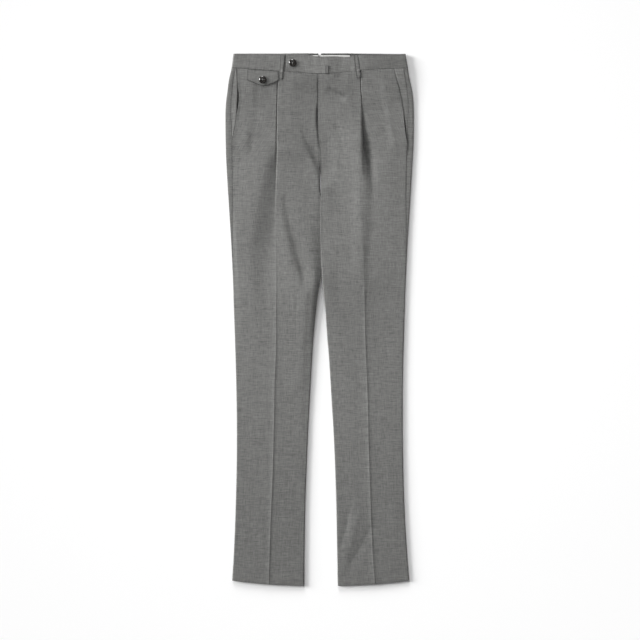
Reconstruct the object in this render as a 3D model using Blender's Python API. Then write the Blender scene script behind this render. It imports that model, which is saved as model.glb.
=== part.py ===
"""Pleated dress trousers, laid flat with the front up.

+X runs to the wearer's left, +Y from the hems to the waist, and +Z away from the surface that the
cloth rests on. Each cloth piece is a wall round a middle surface, which is a grid of points: a row
for each level below the waist and a column for each place across the piece. Lengths are in
millimetres until the mesh is made. "Reach" is the distance from the centre line towards a half's
own side, and "below" is the distance below the waist's top edge.
"""
import math
from dataclasses import dataclass

import bmesh
import bpy
import numpy as np

MM = 0.001

# Driving sizes
LENGTH = 1119.0          # waist's top edge to the lowest point of the hems
HALF_WAIST = 181.0
CLOTH = 1.0              # wall of every panel
GAP = 0.3                # left between two pieces
EDGE_RADIUS = 1.8        # middle surface where a panel turns over at the edge
DOME = 1.2               # rise of the upper layer half-way across
PLEAT_SLOPE = 55.0       # the upper layer comes down over this, past the folded cloth
BAND = 2.4               # wall of the waistband
BAND_BACK_LEVEL = 3.1    # middle surface of the band's back run
BAND_FRONT_LEVEL = 7.4   # middle surface of the band's front run
BAND_DOME = 0.8          # rise of the band's front run half-way across
TAB_LIFT = 2.7           # left band over right band
BACK_WAIST_RISE = 1.9    # back panels rise to the band over the back loops
POCKET_END = 193.0       # slant pocket meets the side seam here
POCKET_LIFT = 1.5        # front over the pocket facing
FACING_DEPTH = 25.0      # facing hidden under the front
FLY_LIFT = 1.5           # left front over right front, and right front over the underlap
FLY_LIFT_REACH = (12.0, 36.0)
LEG_LIFT = 6.2           # left thigh over right thigh, below the crotch
LEG_LIFT_REACH = (12.0, 42.0)
UNDERLAP_ACROSS = (-3.0, 36.0)
UNDERLAP_BELOW = (44.8, 200.0)
TAB_LIFT_REACH = (14.0, 50.0)
TAB_END = -69.3          # rounded end of the left band, across
RIGHT_BAND_END = 10.0    # right band's hidden end, across
TAB_LOWER_CORNER = 14.0
TAB_UPPER_CORNER = 3.0
WAIST_ROW = 40.0
WAIST_FADE = 70.0        # a row's curve at the waist dies out over this
HEM_FADE = 80.0
LOOP_WALL = 1.6
LOOP_ARCH = 1.2
FLAP_WALL = 1.4
LINING_WALL = 1.0
LINING_REACH = (2.4, 84.0)
LINING_BELOW = (2.2, 34.0)
BUTTON_LIFT = 0.5
BUTTON_SIDES = 20
NOTCH_WIDTH = 3.0        # each side of the centre-back notch, at the top
BAND_ROWS = (0, 0.27, 1) # shares of the band's height; the second is the foot of the notch

ROWS = np.array([
    40, 54, 72, 92, 115, 140, 165, 184, 193, 202, 216, 232, 247, 262, 277, 292, 312, 335, 362,
    398, 430, 455, 474, 492, 520, 562, 620, 700, 790, 880, 960, 1030, 1080, 1119], float)[:, None]


def table(names, *rows):
    """One array for each named column."""
    return dict(zip(names.split(), np.array(rows, float).T))


# Half widths to the outer edge of each half
OUTER = table(
    "below right left",
    (0, 180.7, 180.2), (18, 183.2, 183.0), (31, 185.0, 185.4), (44, 188.0, 187.4),
    (56, 190.6, 189.8), (81, 194.0, 195.0), (106, 197.1, 197.4), (131, 198.1, 198.0),
    (161, 198.0, 198.0), (193, 197.5, 197.2), (224, 196.5, 195.4), (287, 192.9, 191.7),
    (350, 188.9, 187.7), (413, 185.2, 183.9), (476, 182.3, 180.9), (539, 180.3, 178.6),
    (602, 178.1, 176.9), (665, 176.2, 175.0), (728, 174.8, 174.3), (791, 174.1, 174.4),
    (854, 174.3, 175.2), (917, 175.6, 176.8), (980, 177.4, 179.4), (1043, 180.1, 183.4),
    (1108, 183.6, 188.0), (1119, 184.2, 188.8))

# Where each front ends at the centre: free fly edge, crotch seam, then inner leg. Both are
# positions along +X. "turned" is 0 for an open edge and 1 for an edge that turns over.
INNER = table(
    "below right left turned",
    (30, 6.0, -6.3, 0), (150, 6.0, -6.3, 0), (193, 5.6, -4.2, 0), (204, 4.5, -3.0, 0),
    (216, -2.6, -2.2, 0), (232, -1.0, -0.6, 0), (247, -0.1, 0.3, 0.0), (262, 0.2, 0.7, 0.6),
    (277, 0.2, 0.8, 1), (292, 0.2, 0.8, 1), (316, 7.0, 0.8, 1), (425, 8.0, 0.8, 1),
    (452, 5.4, 2.2, 1), (468, 3.0, 3.8, 1), (478, 1.0, 4.8, 1), (489, -1.4, 5.7, 1),
    (518, -6.7, 8.7, 1), (560, -11.0, 13.0, 1), (602, -15.1, 16.7, 1), (665, -19.6, 21.0, 1),
    (728, -22.9, 25.1, 1), (791, -25.8, 28.9, 1), (854, -28.2, 31.5, 1), (917, -30.4, 33.6, 1),
    (980, -32.4, 35.4, 1), (1043, -33.4, 36.4, 1), (1119, -34.1, 38.2, 1))

# How far the left half stands over the right one: its fly alone, and its whole leg
STACK = table(
    "below fly leg",
    (30, 1, 0), (214, 1, 0), (230, 0.9, 0), (247, 0, 0), (262, 0, 0.0), (290, 0, 1), (460, 0, 1),
    (474, 0, 0.9), (515, 0, 0), (1119, 0, 0))

# Back panel's cloth that shows on top, from the outermost line to the side seam
SIDE_SEAM = table(
    "below wrap",
    (30, 9.0), (100, 11.5), (193, 14.0), (224, 13.6), (281, 11.5), (346, 7.0), (400, 3.5),
    (450, 1.0), (500, 0.0), (1119, 0.0))

# Slant pockets' openings
SLANT = table(
    "below right left",
    (30, 173.4, 156.0), (45, 173.0, 159.0), (65, 172.4, 164.4), (85, 172.5, 169.2),
    (105, 173.4, 173.0), (135, 175.0, 178.0), (157, 178.3, 181.4), (173, 181.2, 183.2),
    (193, 184.3, 184.1), (205, 184.3, 184.1))

# Fold line of each pleat, and the pressed crease that it runs out into
CREASE = table(
    "below right left",
    (30, 87.6, 84.0), (60, 88.2, 85.0), (98, 89.0, 86.4), (140, 91.3, 89.4), (184, 92.4, 88.8),
    (236, 92.8, 88.4), (300, 93.0, 87.2), (346, 92.8, 87.6), (476, 91.2, 91.9),
    (617, 91.8, 96.3), (701, 94.6, 100.0), (814, 96.8, 102.9), (911, 99.8, 105.8),
    (995, 103.4, 108.8), (1119, 107.0, 115.8))

# The pleat's folded cloth: turning angle in degrees and length of each turn, cloth between the
# turns, and how far ahead of the fold line the first turn starts
PLEAT = table(
    "below angle turn depth lead",
    (36, 180, 2.5, 20, 0.8), (110, 180, 2.9, 18, 0.9), (160, 176, 3.2, 14, 1.0),
    (200, 170, 3.3, 9, 1.1), (235, 155, 3.1, 5, 1.4), (270, 118, 2.9, 2.6, 2.2),
    (305, 62, 3.4, 2.2, 4.0), (345, 24, 4.6, 3.2, 6.2), (400, 0, 6, 4, 8), (1119, 0, 6, 4, 8))

RIDGE = table(
    "below height",
    (30, 0), (250, 0), (330, 0.5), (420, 0.9), (1119, 0.8))

# Lower edge of the front band, which the panels hang from, and its top edge
BAND_EDGE = table(
    "across top bottom",
    (-190, 1.2, 31.6), (-181, 1.2, 32.0), (-150, 1.2, 33.6), (-120, 1.2, 36.0), (-80, 1.6, 38.8),
    (-55, 2.4, 41.2), (-24, 4.2, 43.4), (-10, 8.0, 44.2), (4, 8.8, 44.2), (34, 7.4, 42.8),
    (67, 9.6, 39.2), (90, 8.0, 37.0), (118, 5.4, 34.8), (158, 2.8, 33.2), (181, 1.6, 32.0),
    (190, 1.4, 31.6))

BAND_BACK_EDGE = table(
    "reach top bottom",
    (0, 0.3, 37.5), (34, 0.0, 37.2), (90, 0.5, 36.0), (150, 1.0, 33.4), (181, 1.4, 32.0),
    (190, 1.4, 31.6))

HEM = table(
    "reach below",
    (30, 1119.2), (60, 1118.0), (85, 1116.9), (105, 1115.6), (125, 1114.3), (150, 1112.1),
    (170, 1109.9), (190, 1106.8))

# Largest soft folds of the fronts: ends, half width, and height, less than 0 for a trough
FOLDS = table(
    "across_a below_a across_b below_b width height",
    (-37, 148, 0, 240, 8, -1.2), (-67, 182, -72, 300, 12, -1.3), (-72, 300, -46, 459, 12, -1.3),
    (-104, 211, -120, 402, 14, -1.5), (104, 190, 112, 300, 10, -1.6), (112, 300, 100, 459, 12, -1.2),
    (86, 967, 56, 1055, 9, 1.2), (57, 986, 47, 1028, 8, -0.9))

# Belt loops and the prong loop on the front: middle line, and width at each end
LOOPS = table(
    "across_a below_a width_a across_b below_b width_b",
    (-77.0, 3.8, 9.9, -81.3, 55.5, 6.8), (76.3, 4.6, 9.6, 82.2, 52.5, 9.4),
    (15.6, 26.7, 9.2, 14.6, 43.6, 9.0))
BACK_LOOP = (62.0, 2.5, 54.0, 10.0)  # reach, top and bottom below the waist, width

# Lower edge of the coin pocket's flap, and the ends of its upper edge
FLAP = table(
    "across bottom",
    (-153, 56.5), (-140, 62.4), (-127, 67.8), (-119.9, 69.5), (-108, 67.2), (-98.7, 64.3),
    (-89, 59.6), (-85.4, 56.6))
FLAP_TOP = (-151.2, -86.6)
FLAP_BOTTOM = (-153.0, -85.4)

# Turned profile of a horn button
BUTTON = table(
    "radius height",
    (0, 0), (6.4, 0), (7.6, 0.7), (8.0, 1.5), (7.6, 2.5), (6.8, 3.0), (5.9, 2.9), (5.1, 2.3),
    (0, 2.1))
BUTTON_TAB = (-56.5, 21.4)
BUTTON_FLAP = (-119.1, 56.7)

COLOURS = {
    "wool": (0.195, 0.195, 0.188, 1),
    "wool_shade": (0.17, 0.17, 0.164, 1),
    "lining": (0.62, 0.62, 0.6, 1),
    "horn": (0.035, 0.03, 0.028, 1),
}


@dataclass(frozen=True)
class Half:
    """One half of the garment: its name and the way that its reach points."""
    name: str
    side: int


RIGHT = Half("right", -1)
LEFT = Half("left", 1)


def smooth(source, column, at):
    """Cubic curve through a table's rows that doesn't overshoot, read at its first column."""
    x = next(iter(source.values()))
    y = source[column]
    step = np.diff(x)
    slope = np.diff(y) / step
    middle = (slope[1:] + slope[:-1]) / 2
    limit = 3 * np.minimum(np.abs(slope[1:]), np.abs(slope[:-1]))
    middle = np.clip(middle, -limit, limit) * (slope[1:] * slope[:-1] > 0)
    tangent = np.concatenate((slope[:1], middle, slope[-1:]))
    at = np.clip(at, x[0], x[-1])
    cell = np.clip(np.searchsorted(x, at, side="right") - 1, 0, len(x) - 2)
    t = (at - x[cell]) / step[cell]
    run = t * t * (3 - 2 * t)
    bend = t * (1 - t) ** 2 * tangent[cell] - t * t * (1 - t) * tangent[cell + 1]
    return y[cell] + run * (y[cell + 1] - y[cell]) + step[cell] * bend


def ramp(value, start, end):
    """0 before start, 1 after end, and smooth between them."""
    t = np.clip((value - start) / (end - start), 0, 1)
    return t * t * (3 - 2 * t)


def row_shift(half, reach, below):
    """How far a row is moved down, so that the first follows the band and the last the hem."""
    band = smooth(BAND_EDGE, "bottom", half.side * reach) + GAP - WAIST_ROW
    hem = smooth(HEM, "below", reach) - LENGTH
    from_waist = 1 - ramp(below, WAIST_ROW, WAIST_ROW + WAIST_FADE)
    return band * from_waist + hem * ramp(below, LENGTH - HEM_FADE, LENGTH)


def back_row_shift(reach, below):
    """The same for a back panel, which follows the back band."""
    band = smooth(BAND_BACK_EDGE, "bottom", reach) + GAP - WAIST_ROW
    hem = smooth(HEM, "below", reach) - LENGTH
    from_waist = 1 - ramp(below, WAIST_ROW, WAIST_ROW + WAIST_FADE)
    return band * from_waist + hem * ramp(below, LENGTH - HEM_FADE, LENGTH)


def outer_reach(half, below):
    """Outermost reach of a panel's middle surface."""
    return smooth(OUTER, half.name, below + row_shift(half, 190.0, below)) - CLOTH / 2


def inner_reach(half, below):
    """Reach of a panel's centre or inner-leg edge, on its middle surface."""
    turned = smooth(INNER, "turned", below)
    return half.side * smooth(INNER, half.name, below) + turned * CLOTH / 2


def back_inner_reach(half, below):
    """The same for a back: the centre-back seam, then the inner leg."""
    leg = ramp(below, 236, 262)
    return (1 - leg) * GAP / 2 + leg * inner_reach(half, below)


def leg_lift(half, reach, below):
    """Height of the left thigh over the right one, dying out away from the inner edge."""
    if half is RIGHT:
        return 0 * reach * below
    return LEG_LIFT * smooth(STACK, "leg", below) * (1 - ramp(reach, *LEG_LIFT_REACH))


def back_level(half, reach, below):
    """Middle surface of the under layer."""
    waist = BACK_WAIST_RISE * (1 - ramp(below, 60, 125))
    return CLOTH / 2 + waist + leg_lift(half, reach, below)


def fold_height(across, below):
    """Sum of the soft folds: each is a bell across its line that dies out past its ends."""
    height = 0 * across * below
    for xa, ya, xb, yb, width, rise in zip(*FOLDS.values()):
        along = np.array((xb - xa, yb - ya))
        span = np.hypot(*along)
        along /= span
        run = ((across - xa) * along[0] + (below - ya) * along[1]) / span
        away = (across - xa) * along[1] - (below - ya) * along[0]
        ends = ramp(run, -0.2, 0.25) * (1 - ramp(run, 0.75, 1.2))
        height = height + rise * ends * np.exp(-(away / width) ** 2)
    return height


def upper_level(half, reach, below):
    """Middle surface of the upper layer, without its pleat and what lies under it."""
    outer = outer_reach(half, below)
    leg = ramp(below, 235, 320)
    middle = leg * (inner_reach(half, below) + outer) / 2
    share = (reach - middle) / (outer - middle)
    crown = DOME * np.clip(1 - share * share, 0, 1)
    crease = smooth(CREASE, half.name, below)
    ridge = smooth(RIDGE, "height", below) / (1 + ((reach - crease) / 2.6) ** 2)
    sink = -1.2 * np.exp(-((reach - crease) / 26) ** 2) * (1 - ramp(below, 60, 110))
    inside = ramp(outer - reach, 4, 14) * ramp(reach - inner_reach(half, below), -1, 8)
    folds = fold_height(half.side * reach, below) * inside
    return back_level(half, reach, below) + 2 * EDGE_RADIUS + crown + ridge + sink + folds


def front_level(half, reach, below):
    """Middle surface of a front, which lies on the pocket facing and, on the left, on the fly."""
    opening = smooth(SLANT, half.name, below)
    pocket = ramp(reach, opening - FACING_DEPTH - 20, opening - FACING_DEPTH - 3)
    pocket = POCKET_LIFT * pocket * (1 - ramp(below, POCKET_END - 4, POCKET_END + 28))
    fly = 0
    if half is LEFT:
        fly = FLY_LIFT * smooth(STACK, "fly", below) * (1 - ramp(reach, *FLY_LIFT_REACH))
    return upper_level(half, reach, below) + pocket + fly


def pleat_rise(below):
    """Height of the folded cloth: two turns and the cloth between them."""
    angle = np.radians(smooth(PLEAT, "angle", below))
    turn = smooth(PLEAT, "turn", below)
    return (2 * turn * np.sinc(angle / 2 / math.pi) * np.sin(angle / 2)
            + smooth(PLEAT, "depth", below) * np.sin(angle))


def pleat_share(half, reach, below):
    """How much of the pleat's height is left towards the centre of the front."""
    end = smooth(CREASE, half.name, below) - smooth(PLEAT, "depth", below)
    return ramp(reach, end - PLEAT_SLOPE, end - 4)


def front_top(half, reach, below):
    """Top face of a front, pleat included: what lies on the front is moved out from it."""
    crease = smooth(CREASE, half.name, below)
    rise = pleat_rise(below) * pleat_share(half, reach, below)
    rise = rise * (1 - ramp(reach, crease + 1.5, crease + 9))
    return front_level(half, reach, below) + rise + CLOTH / 2


def edge_turn(arc):
    """Inward and upward offset from an edge's outermost line, at an arc length round it."""
    angle = np.clip(arc / EDGE_RADIUS, -math.pi / 2, math.pi / 2)
    flat = np.maximum(np.abs(arc) - EDGE_RADIUS * math.pi / 2, 0)
    return EDGE_RADIUS * (1 - np.cos(angle)) + flat, EDGE_RADIUS * np.sin(angle)


def inner_columns(edge, arc):
    """Reach of the columns at an inner edge, and their height over the edge's middle line."""
    turned = smooth(INNER, "turned", ROWS)
    inward, height = edge_turn(arc)
    reach = edge + turned * inward + (1 - turned) * (np.abs(arc) - GAP / 2)
    return reach, turned * height + (1 - turned) * np.sign(arc) * EDGE_RADIUS


def fold_columns(half, segments=4):
    """Reach and height of a pleat's columns, as chords of a turn, a run and a turn back."""
    angle = np.radians(smooth(PLEAT, "angle", ROWS))
    turn = smooth(PLEAT, "turn", ROWS) / segments
    depth = smooth(PLEAT, "depth", ROWS)
    share = (np.arange(segments) + 0.5) / segments
    chord = turn * np.sinc(angle / segments / 2 / math.pi)
    headings = np.hstack((angle * share, angle, angle * share[::-1]))
    chords = np.hstack((np.repeat(chord, segments, 1), depth, np.repeat(chord, segments, 1)))
    start = smooth(CREASE, half.name, ROWS) - smooth(PLEAT, "lead", ROWS)
    reach = start + np.cumsum(chords * np.cos(headings), axis=1)
    fall = -np.cumsum(chords * np.sin(headings), axis=1)
    return np.hstack((start, reach)), np.hstack((0 * start, fall))


def runs(start, end, count):
    """Columns spread evenly between two others, without the ends."""
    share = np.arange(1, count + 1) / (count + 1)
    return start + (end - start) * share


def front_grid(half):
    """Middle surface of a front, from its centre edge to its side seam."""
    inner, inner_height = inner_columns(inner_reach(half, ROWS), np.array([GAP / 2, 1.4, 2.8]))
    fold, fold_fall = fold_columns(half)
    arc = smooth(SIDE_SEAM, "wrap", ROWS) + GAP / 2 + np.array([2.8, 1.4, 0])
    inward, outer_height = edge_turn(arc)
    seam = outer_reach(half, ROWS) - inward
    free = smooth(SLANT, half.name, ROWS + row_shift(half, 170.0, ROWS)) - np.array([2.8, 1.4, 0])
    at_pocket = ROWS < POCKET_END
    outer = np.where(at_pocket, free, seam)
    outer_height = np.where(at_pocket, EDGE_RADIUS, outer_height)
    upper = runs(inner[:, -1:], fold[:, :1], 5)
    lower = runs(fold[:, -1:], outer[:, :1], 4)
    reach = np.hstack((inner, upper, fold, lower, outer))
    rise = pleat_rise(ROWS)
    fall = np.hstack((
        inner_height - EDGE_RADIUS, 0 * upper, fold_fall, 0 * lower - rise,
        outer_height - EDGE_RADIUS - rise))
    share = pleat_share(half, reach, ROWS)
    share[:, inner.shape[1] + upper.shape[1]:] = 1
    level = front_level(half, reach, ROWS) + rise * share + fall
    return place(half, reach, ROWS + row_shift(half, reach, ROWS), level)


def back_grid(half):
    """Middle surface of a back, from its inner edge under the leg and round to the side seam."""
    edge = back_inner_reach(half, ROWS)
    inner, inner_height = inner_columns(edge, -np.array([GAP / 2, 1.4, 2.8]))
    spread = np.array([0, 0.085, 0.17, 0.255, 0.34, 0.48, 0.73, 1.0])
    quarter = EDGE_RADIUS * math.pi / 2
    arc = (smooth(SIDE_SEAM, "wrap", ROWS) - GAP / 2 + quarter) * spread - quarter
    inward, outer_height = edge_turn(arc)
    outer = outer_reach(half, ROWS) - inward
    under = runs(inner[:, -1:], outer[:, :1], 5)
    reach = np.hstack((inner, under, outer))
    height = np.hstack((inner_height, 0 * under - EDGE_RADIUS, outer_height)) + EDGE_RADIUS
    level = back_level(half, reach, ROWS) + height
    return place(half, reach, ROWS + back_row_shift(reach, ROWS), level)


def facing_grid(half):
    """Middle surface of a pocket facing, from its side seam to its edge under the front."""
    below = np.append(ROWS[ROWS < POCKET_END - 1], POCKET_END - 1)[:, None]
    arc = smooth(SIDE_SEAM, "wrap", below) + GAP / 2
    seam = outer_reach(half, below) - edge_turn(arc)[0]
    opening = smooth(SLANT, half.name, below + row_shift(half, 170.0, below))
    hidden = opening - FACING_DEPTH
    reach = hidden + (seam - hidden) * np.linspace(0, 1, 5)
    level = upper_level(half, reach, below)
    return place(half, reach, below + row_shift(half, reach, below), level)


def underlap_grid():
    """Middle surface of the fly underlap, behind the edge of the right front."""
    below = np.linspace(*UNDERLAP_BELOW, 9)[:, None]
    across = np.linspace(*UNDERLAP_ACROSS, 5) * (1 + 0 * below)
    level = upper_level(RIGHT, -across, below) - FLY_LIFT
    return place(LEFT, across, below, level)


def band_level(half, reach):
    """Middle surface of the front band; the left one passes over the right one."""
    level = BAND_FRONT_LEVEL + BAND_DOME * (1 - (reach / HALF_WAIST) ** 2)
    if half is LEFT:
        level = level + TAB_LIFT * (1 - ramp(reach, *TAB_LIFT_REACH))
    return level


def corner(distance, radius):
    """How far a rounded corner takes an edge in, at a distance from the corner's end."""
    missing = np.clip(radius - distance, 0, radius)
    return radius - np.sqrt(radius ** 2 - missing ** 2)


def band_grid(half):
    """Middle surface of half a waistband, from the centre back round the side to the front."""
    share = np.array(BAND_ROWS)[:, None]
    radius = (BAND_FRONT_LEVEL - BAND_BACK_LEVEL) / 2
    side_top, side_bottom = (smooth(BAND_BACK_EDGE, edge, HALF_WAIST) for edge in ("top", "bottom"))
    outer = smooth(OUTER, half.name, side_top + (side_bottom - side_top) * share) - BAND / 2
    notch = np.maximum(0, 1 - share / BAND_ROWS[1])
    centre = GAP / 2 + NOTCH_WIDTH * notch
    angle = np.linspace(-90, 90, 7)
    turn = outer - radius * (1 - np.cos(np.radians(angle)))
    if half is LEFT:
        last = TAB_END + np.array((27, 14, 8.5, 4.6, 2.1, 0.7, 0))
    else:
        last = np.array((0, -RIGHT_BAND_END))
    last = last + 0 * share
    under = np.hstack((centre, runs(centre, turn[:, :1], 4)))
    over = np.hstack((runs(turn[:, -1:], last[:, :1], 9), last))
    reach = np.hstack((under, turn, over))
    blend = np.concatenate((0 * under[0], (angle + 90) / 180, 0 * over[0] + 1))
    level = np.hstack((
        0 * under + BAND_BACK_LEVEL,
        0 * turn + BAND_BACK_LEVEL + radius * (1 + np.sin(np.radians(angle))),
        band_level(half, over)))
    top = smooth(BAND_EDGE, "top", half.side * reach)
    bottom = smooth(BAND_EDGE, "bottom", half.side * reach)
    if half is LEFT:
        top = top + corner(reach - TAB_END, TAB_UPPER_CORNER)
        bottom = bottom - corner(reach - TAB_END, TAB_LOWER_CORNER)
    top = blend * top + (1 - blend) * smooth(BAND_BACK_EDGE, "top", np.abs(reach))
    bottom = blend * bottom + (1 - blend) * smooth(BAND_BACK_EDGE, "bottom", np.abs(reach))
    return place(half, reach, top + (bottom - top) * share, level)


def lining_grid(half):
    """Middle surface of the lining on the inner face of the back band."""
    share = np.linspace(0, 1, 3)[:, None]
    reach = np.linspace(*LINING_REACH, 7) + 0 * share
    top = smooth(BAND_BACK_EDGE, "top", reach) + LINING_BELOW[0]
    level = BAND_BACK_LEVEL + (BAND + LINING_WALL) / 2 + GAP + 0 * reach
    return place(half, reach, top + (LINING_BELOW[1] - top) * share, level)


def loop_grid(row):
    """Middle surface of a loop on the front, which steps down from the band to the panel."""
    xa, ya, wa, xb, yb, wb = row
    half = LEFT if xa > 0 else RIGHT
    run = np.linspace(0, 1, 10)[:, None]
    across = xa + (xb - xa) * run + (wa + (wb - wa) * run) * np.array((-0.5, 0, 0.5))
    below = ya + (yb - ya) * run + 0 * across
    reach = half.side * across
    seam = smooth(BAND_EDGE, "bottom", across)
    panel = front_top(half, reach, np.maximum(below, WAIST_ROW))
    band = band_level(half, reach) + BAND / 2
    step = ramp(below, seam + 1, seam + 9)
    arch = LOOP_ARCH * np.sin(math.pi * run) ** 2
    top = np.maximum(band + (panel - band) * step, np.where(below > seam - 1, panel, 0))
    return place(half, reach, below, top + GAP + LOOP_WALL / 2 + arch)


def back_loop_grid(half):
    """Middle surface of a back loop, flat under the back band."""
    reach, top, bottom, width = BACK_LOOP
    below = np.linspace(top, bottom, 3)[:, None]
    across = reach + width * np.array((-0.5, 0, 0.5)) + 0 * below
    return place(half, across, below, LOOP_WALL / 2 + 0 * across)


def flap_grid():
    """Middle surface of the coin pocket's flap, moved out from the right front."""
    down = np.linspace(0, 1, 5)[:, None]
    left = FLAP_TOP[0] + (FLAP_BOTTOM[0] - FLAP_TOP[0]) * down
    right = FLAP_TOP[1] + (FLAP_BOTTOM[1] - FLAP_TOP[1]) * down
    across = left + (right - left) * np.linspace(0, 1, 15)
    top = smooth(BAND_EDGE, "bottom", across) + GAP
    below = top + (smooth(FLAP, "bottom", across) - top) * down
    level = front_top(RIGHT, -across, below) + GAP + FLAP_WALL / 2
    return place(LEFT, across, below, level)


def place(half, reach, below, level):
    """Points of a grid, in metres."""
    return np.stack((half.side * reach, LENGTH / 2 - below + 0 * reach, level), axis=-1) * MM


def unit_normals(grid):
    """Normals of a grid of points, from the differences along its rows and columns."""
    across = np.gradient(grid, axis=1, edge_order=2)
    along = np.gradient(grid, axis=0, edge_order=2)
    normal = np.cross(across, along)
    return normal / np.linalg.norm(normal, axis=-1, keepdims=True)


def wall(name, grid, thickness, colour):
    """Closed wall of even thickness round a middle surface."""
    half_wall = unit_normals(grid) * thickness / 2 * MM
    rows, columns = grid.shape[:2]
    points = np.concatenate(((grid + half_wall).reshape(-1, 3), (grid - half_wall).reshape(-1, 3)))
    index = np.arange(rows * columns).reshape(rows, columns)
    cells = np.stack((index[:-1, :-1], index[:-1, 1:], index[1:, 1:], index[1:, :-1]), axis=-1)
    upper = cells.reshape(-1, 4)
    rim = np.concatenate((index[0, :], index[1:, -1], index[-1, -2::-1], index[-2:0:-1, 0]))
    after = np.roll(rim, -1)
    other = rows * columns
    sides = np.stack((rim, rim + other, after + other, after), axis=-1)
    faces = np.concatenate((upper, upper[:, ::-1] + other, sides))
    return solid(name, points, faces.tolist(), colour)


def solid(name, points, faces, colour):
    """Object from points and faces, with its faces pointing out and its own material."""
    mesh = bpy.data.meshes.new(name)
    mesh.from_pydata([tuple(point) for point in points], [], faces)
    work = bmesh.new()
    work.from_mesh(mesh)
    bmesh.ops.triangulate(work, faces=work.faces)
    bmesh.ops.recalc_face_normals(work, faces=work.faces)
    work.to_mesh(mesh)
    work.free()
    mesh.shade_smooth()
    mesh.set_sharp_from_angle(angle=math.radians(40))
    material = bpy.data.materials.new(name)
    material.use_nodes = True
    shader = material.node_tree.nodes["Principled BSDF"]
    shader.inputs["Base Color"].default_value = COLOURS[colour]
    shader.inputs["Roughness"].default_value = 0.35 if colour == "horn" else 0.9
    shader.inputs["Metallic"].default_value = 0.0
    mesh.materials.append(material)
    made = bpy.data.objects.new(name, mesh)
    bpy.context.scene.collection.objects.link(made)
    return made


def turned(name, across, below, level, colour):
    """Solid turned from the button's profile, with its underside at a level."""
    angle = np.arange(BUTTON_SIDES) * math.tau / BUTTON_SIDES
    radius = BUTTON["radius"][1:-1, None]
    rings = np.stack((
        across + radius * np.cos(angle), LENGTH / 2 - below + radius * np.sin(angle),
        level + BUTTON["height"][1:-1, None] + 0 * angle), axis=-1).reshape(-1, 3)
    heights = BUTTON["height"][[0, -1]]
    poles = [(across, LENGTH / 2 - below, level + height) for height in heights]
    points = np.concatenate((rings, poles)) * MM
    index = np.arange(len(rings)).reshape(-1, BUTTON_SIDES)
    after = np.roll(index, -1, axis=1)
    faces = np.stack((index[:-1], after[:-1], after[1:], index[1:]), axis=-1).reshape(-1, 4).tolist()
    for ring, pole in ((0, len(rings)), (-1, len(rings) + 1)):
        faces += [(a, b, pole) for a, b in zip(index[ring].tolist(), after[ring].tolist())]
    return solid(name, points, faces, colour)


def main():
    for old in list(bpy.data.objects):
        bpy.data.objects.remove(old, do_unlink=True)
    for half in (RIGHT, LEFT):
        wall("front_" + half.name, front_grid(half), CLOTH, "wool")
        wall("back_" + half.name, back_grid(half), CLOTH, "wool")
        wall("pocket_facing_" + half.name, facing_grid(half), CLOTH, "wool_shade")
        wall("waistband_" + half.name, band_grid(half), BAND, "wool")
        wall("band_lining_" + half.name, lining_grid(half), LINING_WALL, "lining")
        wall("belt_loop_back_" + half.name, back_loop_grid(half), LOOP_WALL, "wool")
    wall("fly_underlap", underlap_grid(), CLOTH, "wool_shade")
    loop_names = ("belt_loop_front_right", "belt_loop_front_left", "prong_loop")
    for name, row in zip(loop_names, zip(*LOOPS.values())):
        wall(name, loop_grid(row), LOOP_WALL, "wool")
    wall("coin_flap", flap_grid(), FLAP_WALL, "wool")
    across, below = BUTTON_TAB
    tab_top = band_level(LEFT, across) + BAND / 2
    turned("button_tab", across, below, tab_top + BUTTON_LIFT, "horn")
    across, below = BUTTON_FLAP
    flap_top = front_top(RIGHT, -across, below) + GAP + FLAP_WALL
    turned("button_flap", across, below, flap_top + BUTTON_LIFT, "horn")


main()
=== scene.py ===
"""Looks of pleated dress trousers in grey wool, laid flat with the front up.

+X runs to the wearer's left, +Y from the hems to the waist, and +Z away from the floor. Sizes are in
millimetres until a mesh is made. "Reach" is the distance from the centre line towards a half's own
side, "below" is the distance below the waist's top edge, and "level" is a height over the floor.
"""

import logging
import math
from collections.abc import Callable
from dataclasses import dataclass, field
from enum import Enum
from typing import ClassVar

import bpy
import numpy as np
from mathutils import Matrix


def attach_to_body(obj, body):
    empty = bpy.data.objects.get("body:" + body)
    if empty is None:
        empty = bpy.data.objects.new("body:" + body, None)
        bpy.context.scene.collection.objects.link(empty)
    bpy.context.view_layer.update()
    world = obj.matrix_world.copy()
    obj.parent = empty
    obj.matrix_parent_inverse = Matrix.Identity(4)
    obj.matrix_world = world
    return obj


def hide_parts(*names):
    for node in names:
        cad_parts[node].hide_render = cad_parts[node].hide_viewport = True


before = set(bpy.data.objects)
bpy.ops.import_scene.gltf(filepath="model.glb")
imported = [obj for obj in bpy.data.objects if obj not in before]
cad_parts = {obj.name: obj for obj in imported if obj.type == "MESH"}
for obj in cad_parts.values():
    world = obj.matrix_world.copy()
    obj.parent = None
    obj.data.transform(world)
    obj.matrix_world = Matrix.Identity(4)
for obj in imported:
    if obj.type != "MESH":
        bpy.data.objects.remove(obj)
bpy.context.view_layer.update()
LOG = logging.getLogger("trousers")
MM = 0.001

Array = np.ndarray
Piece = bpy.types.Object
Material = bpy.types.Material
Tree = bpy.types.NodeTree
Socket = bpy.types.NodeSocket
Sockets = dict[str | int, object]           # value of each input, or the output that it is linked to
Colour = tuple[float, float, float, float]
Span = tuple[float, float]
Surface = Callable[[Array, Array], Array]   # level over the floor, from across and below


class Half(Enum):
    """One half of the garment, with the sign of its side on the X axis."""
    RIGHT = -1
    LEFT = 1

    @property
    def side(self) -> int:
        """Sign of the half's side."""
        return self.value

    @property
    def label(self) -> str:
        """Name of the half in tables and in pieces."""
        return self.name.lower()


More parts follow.
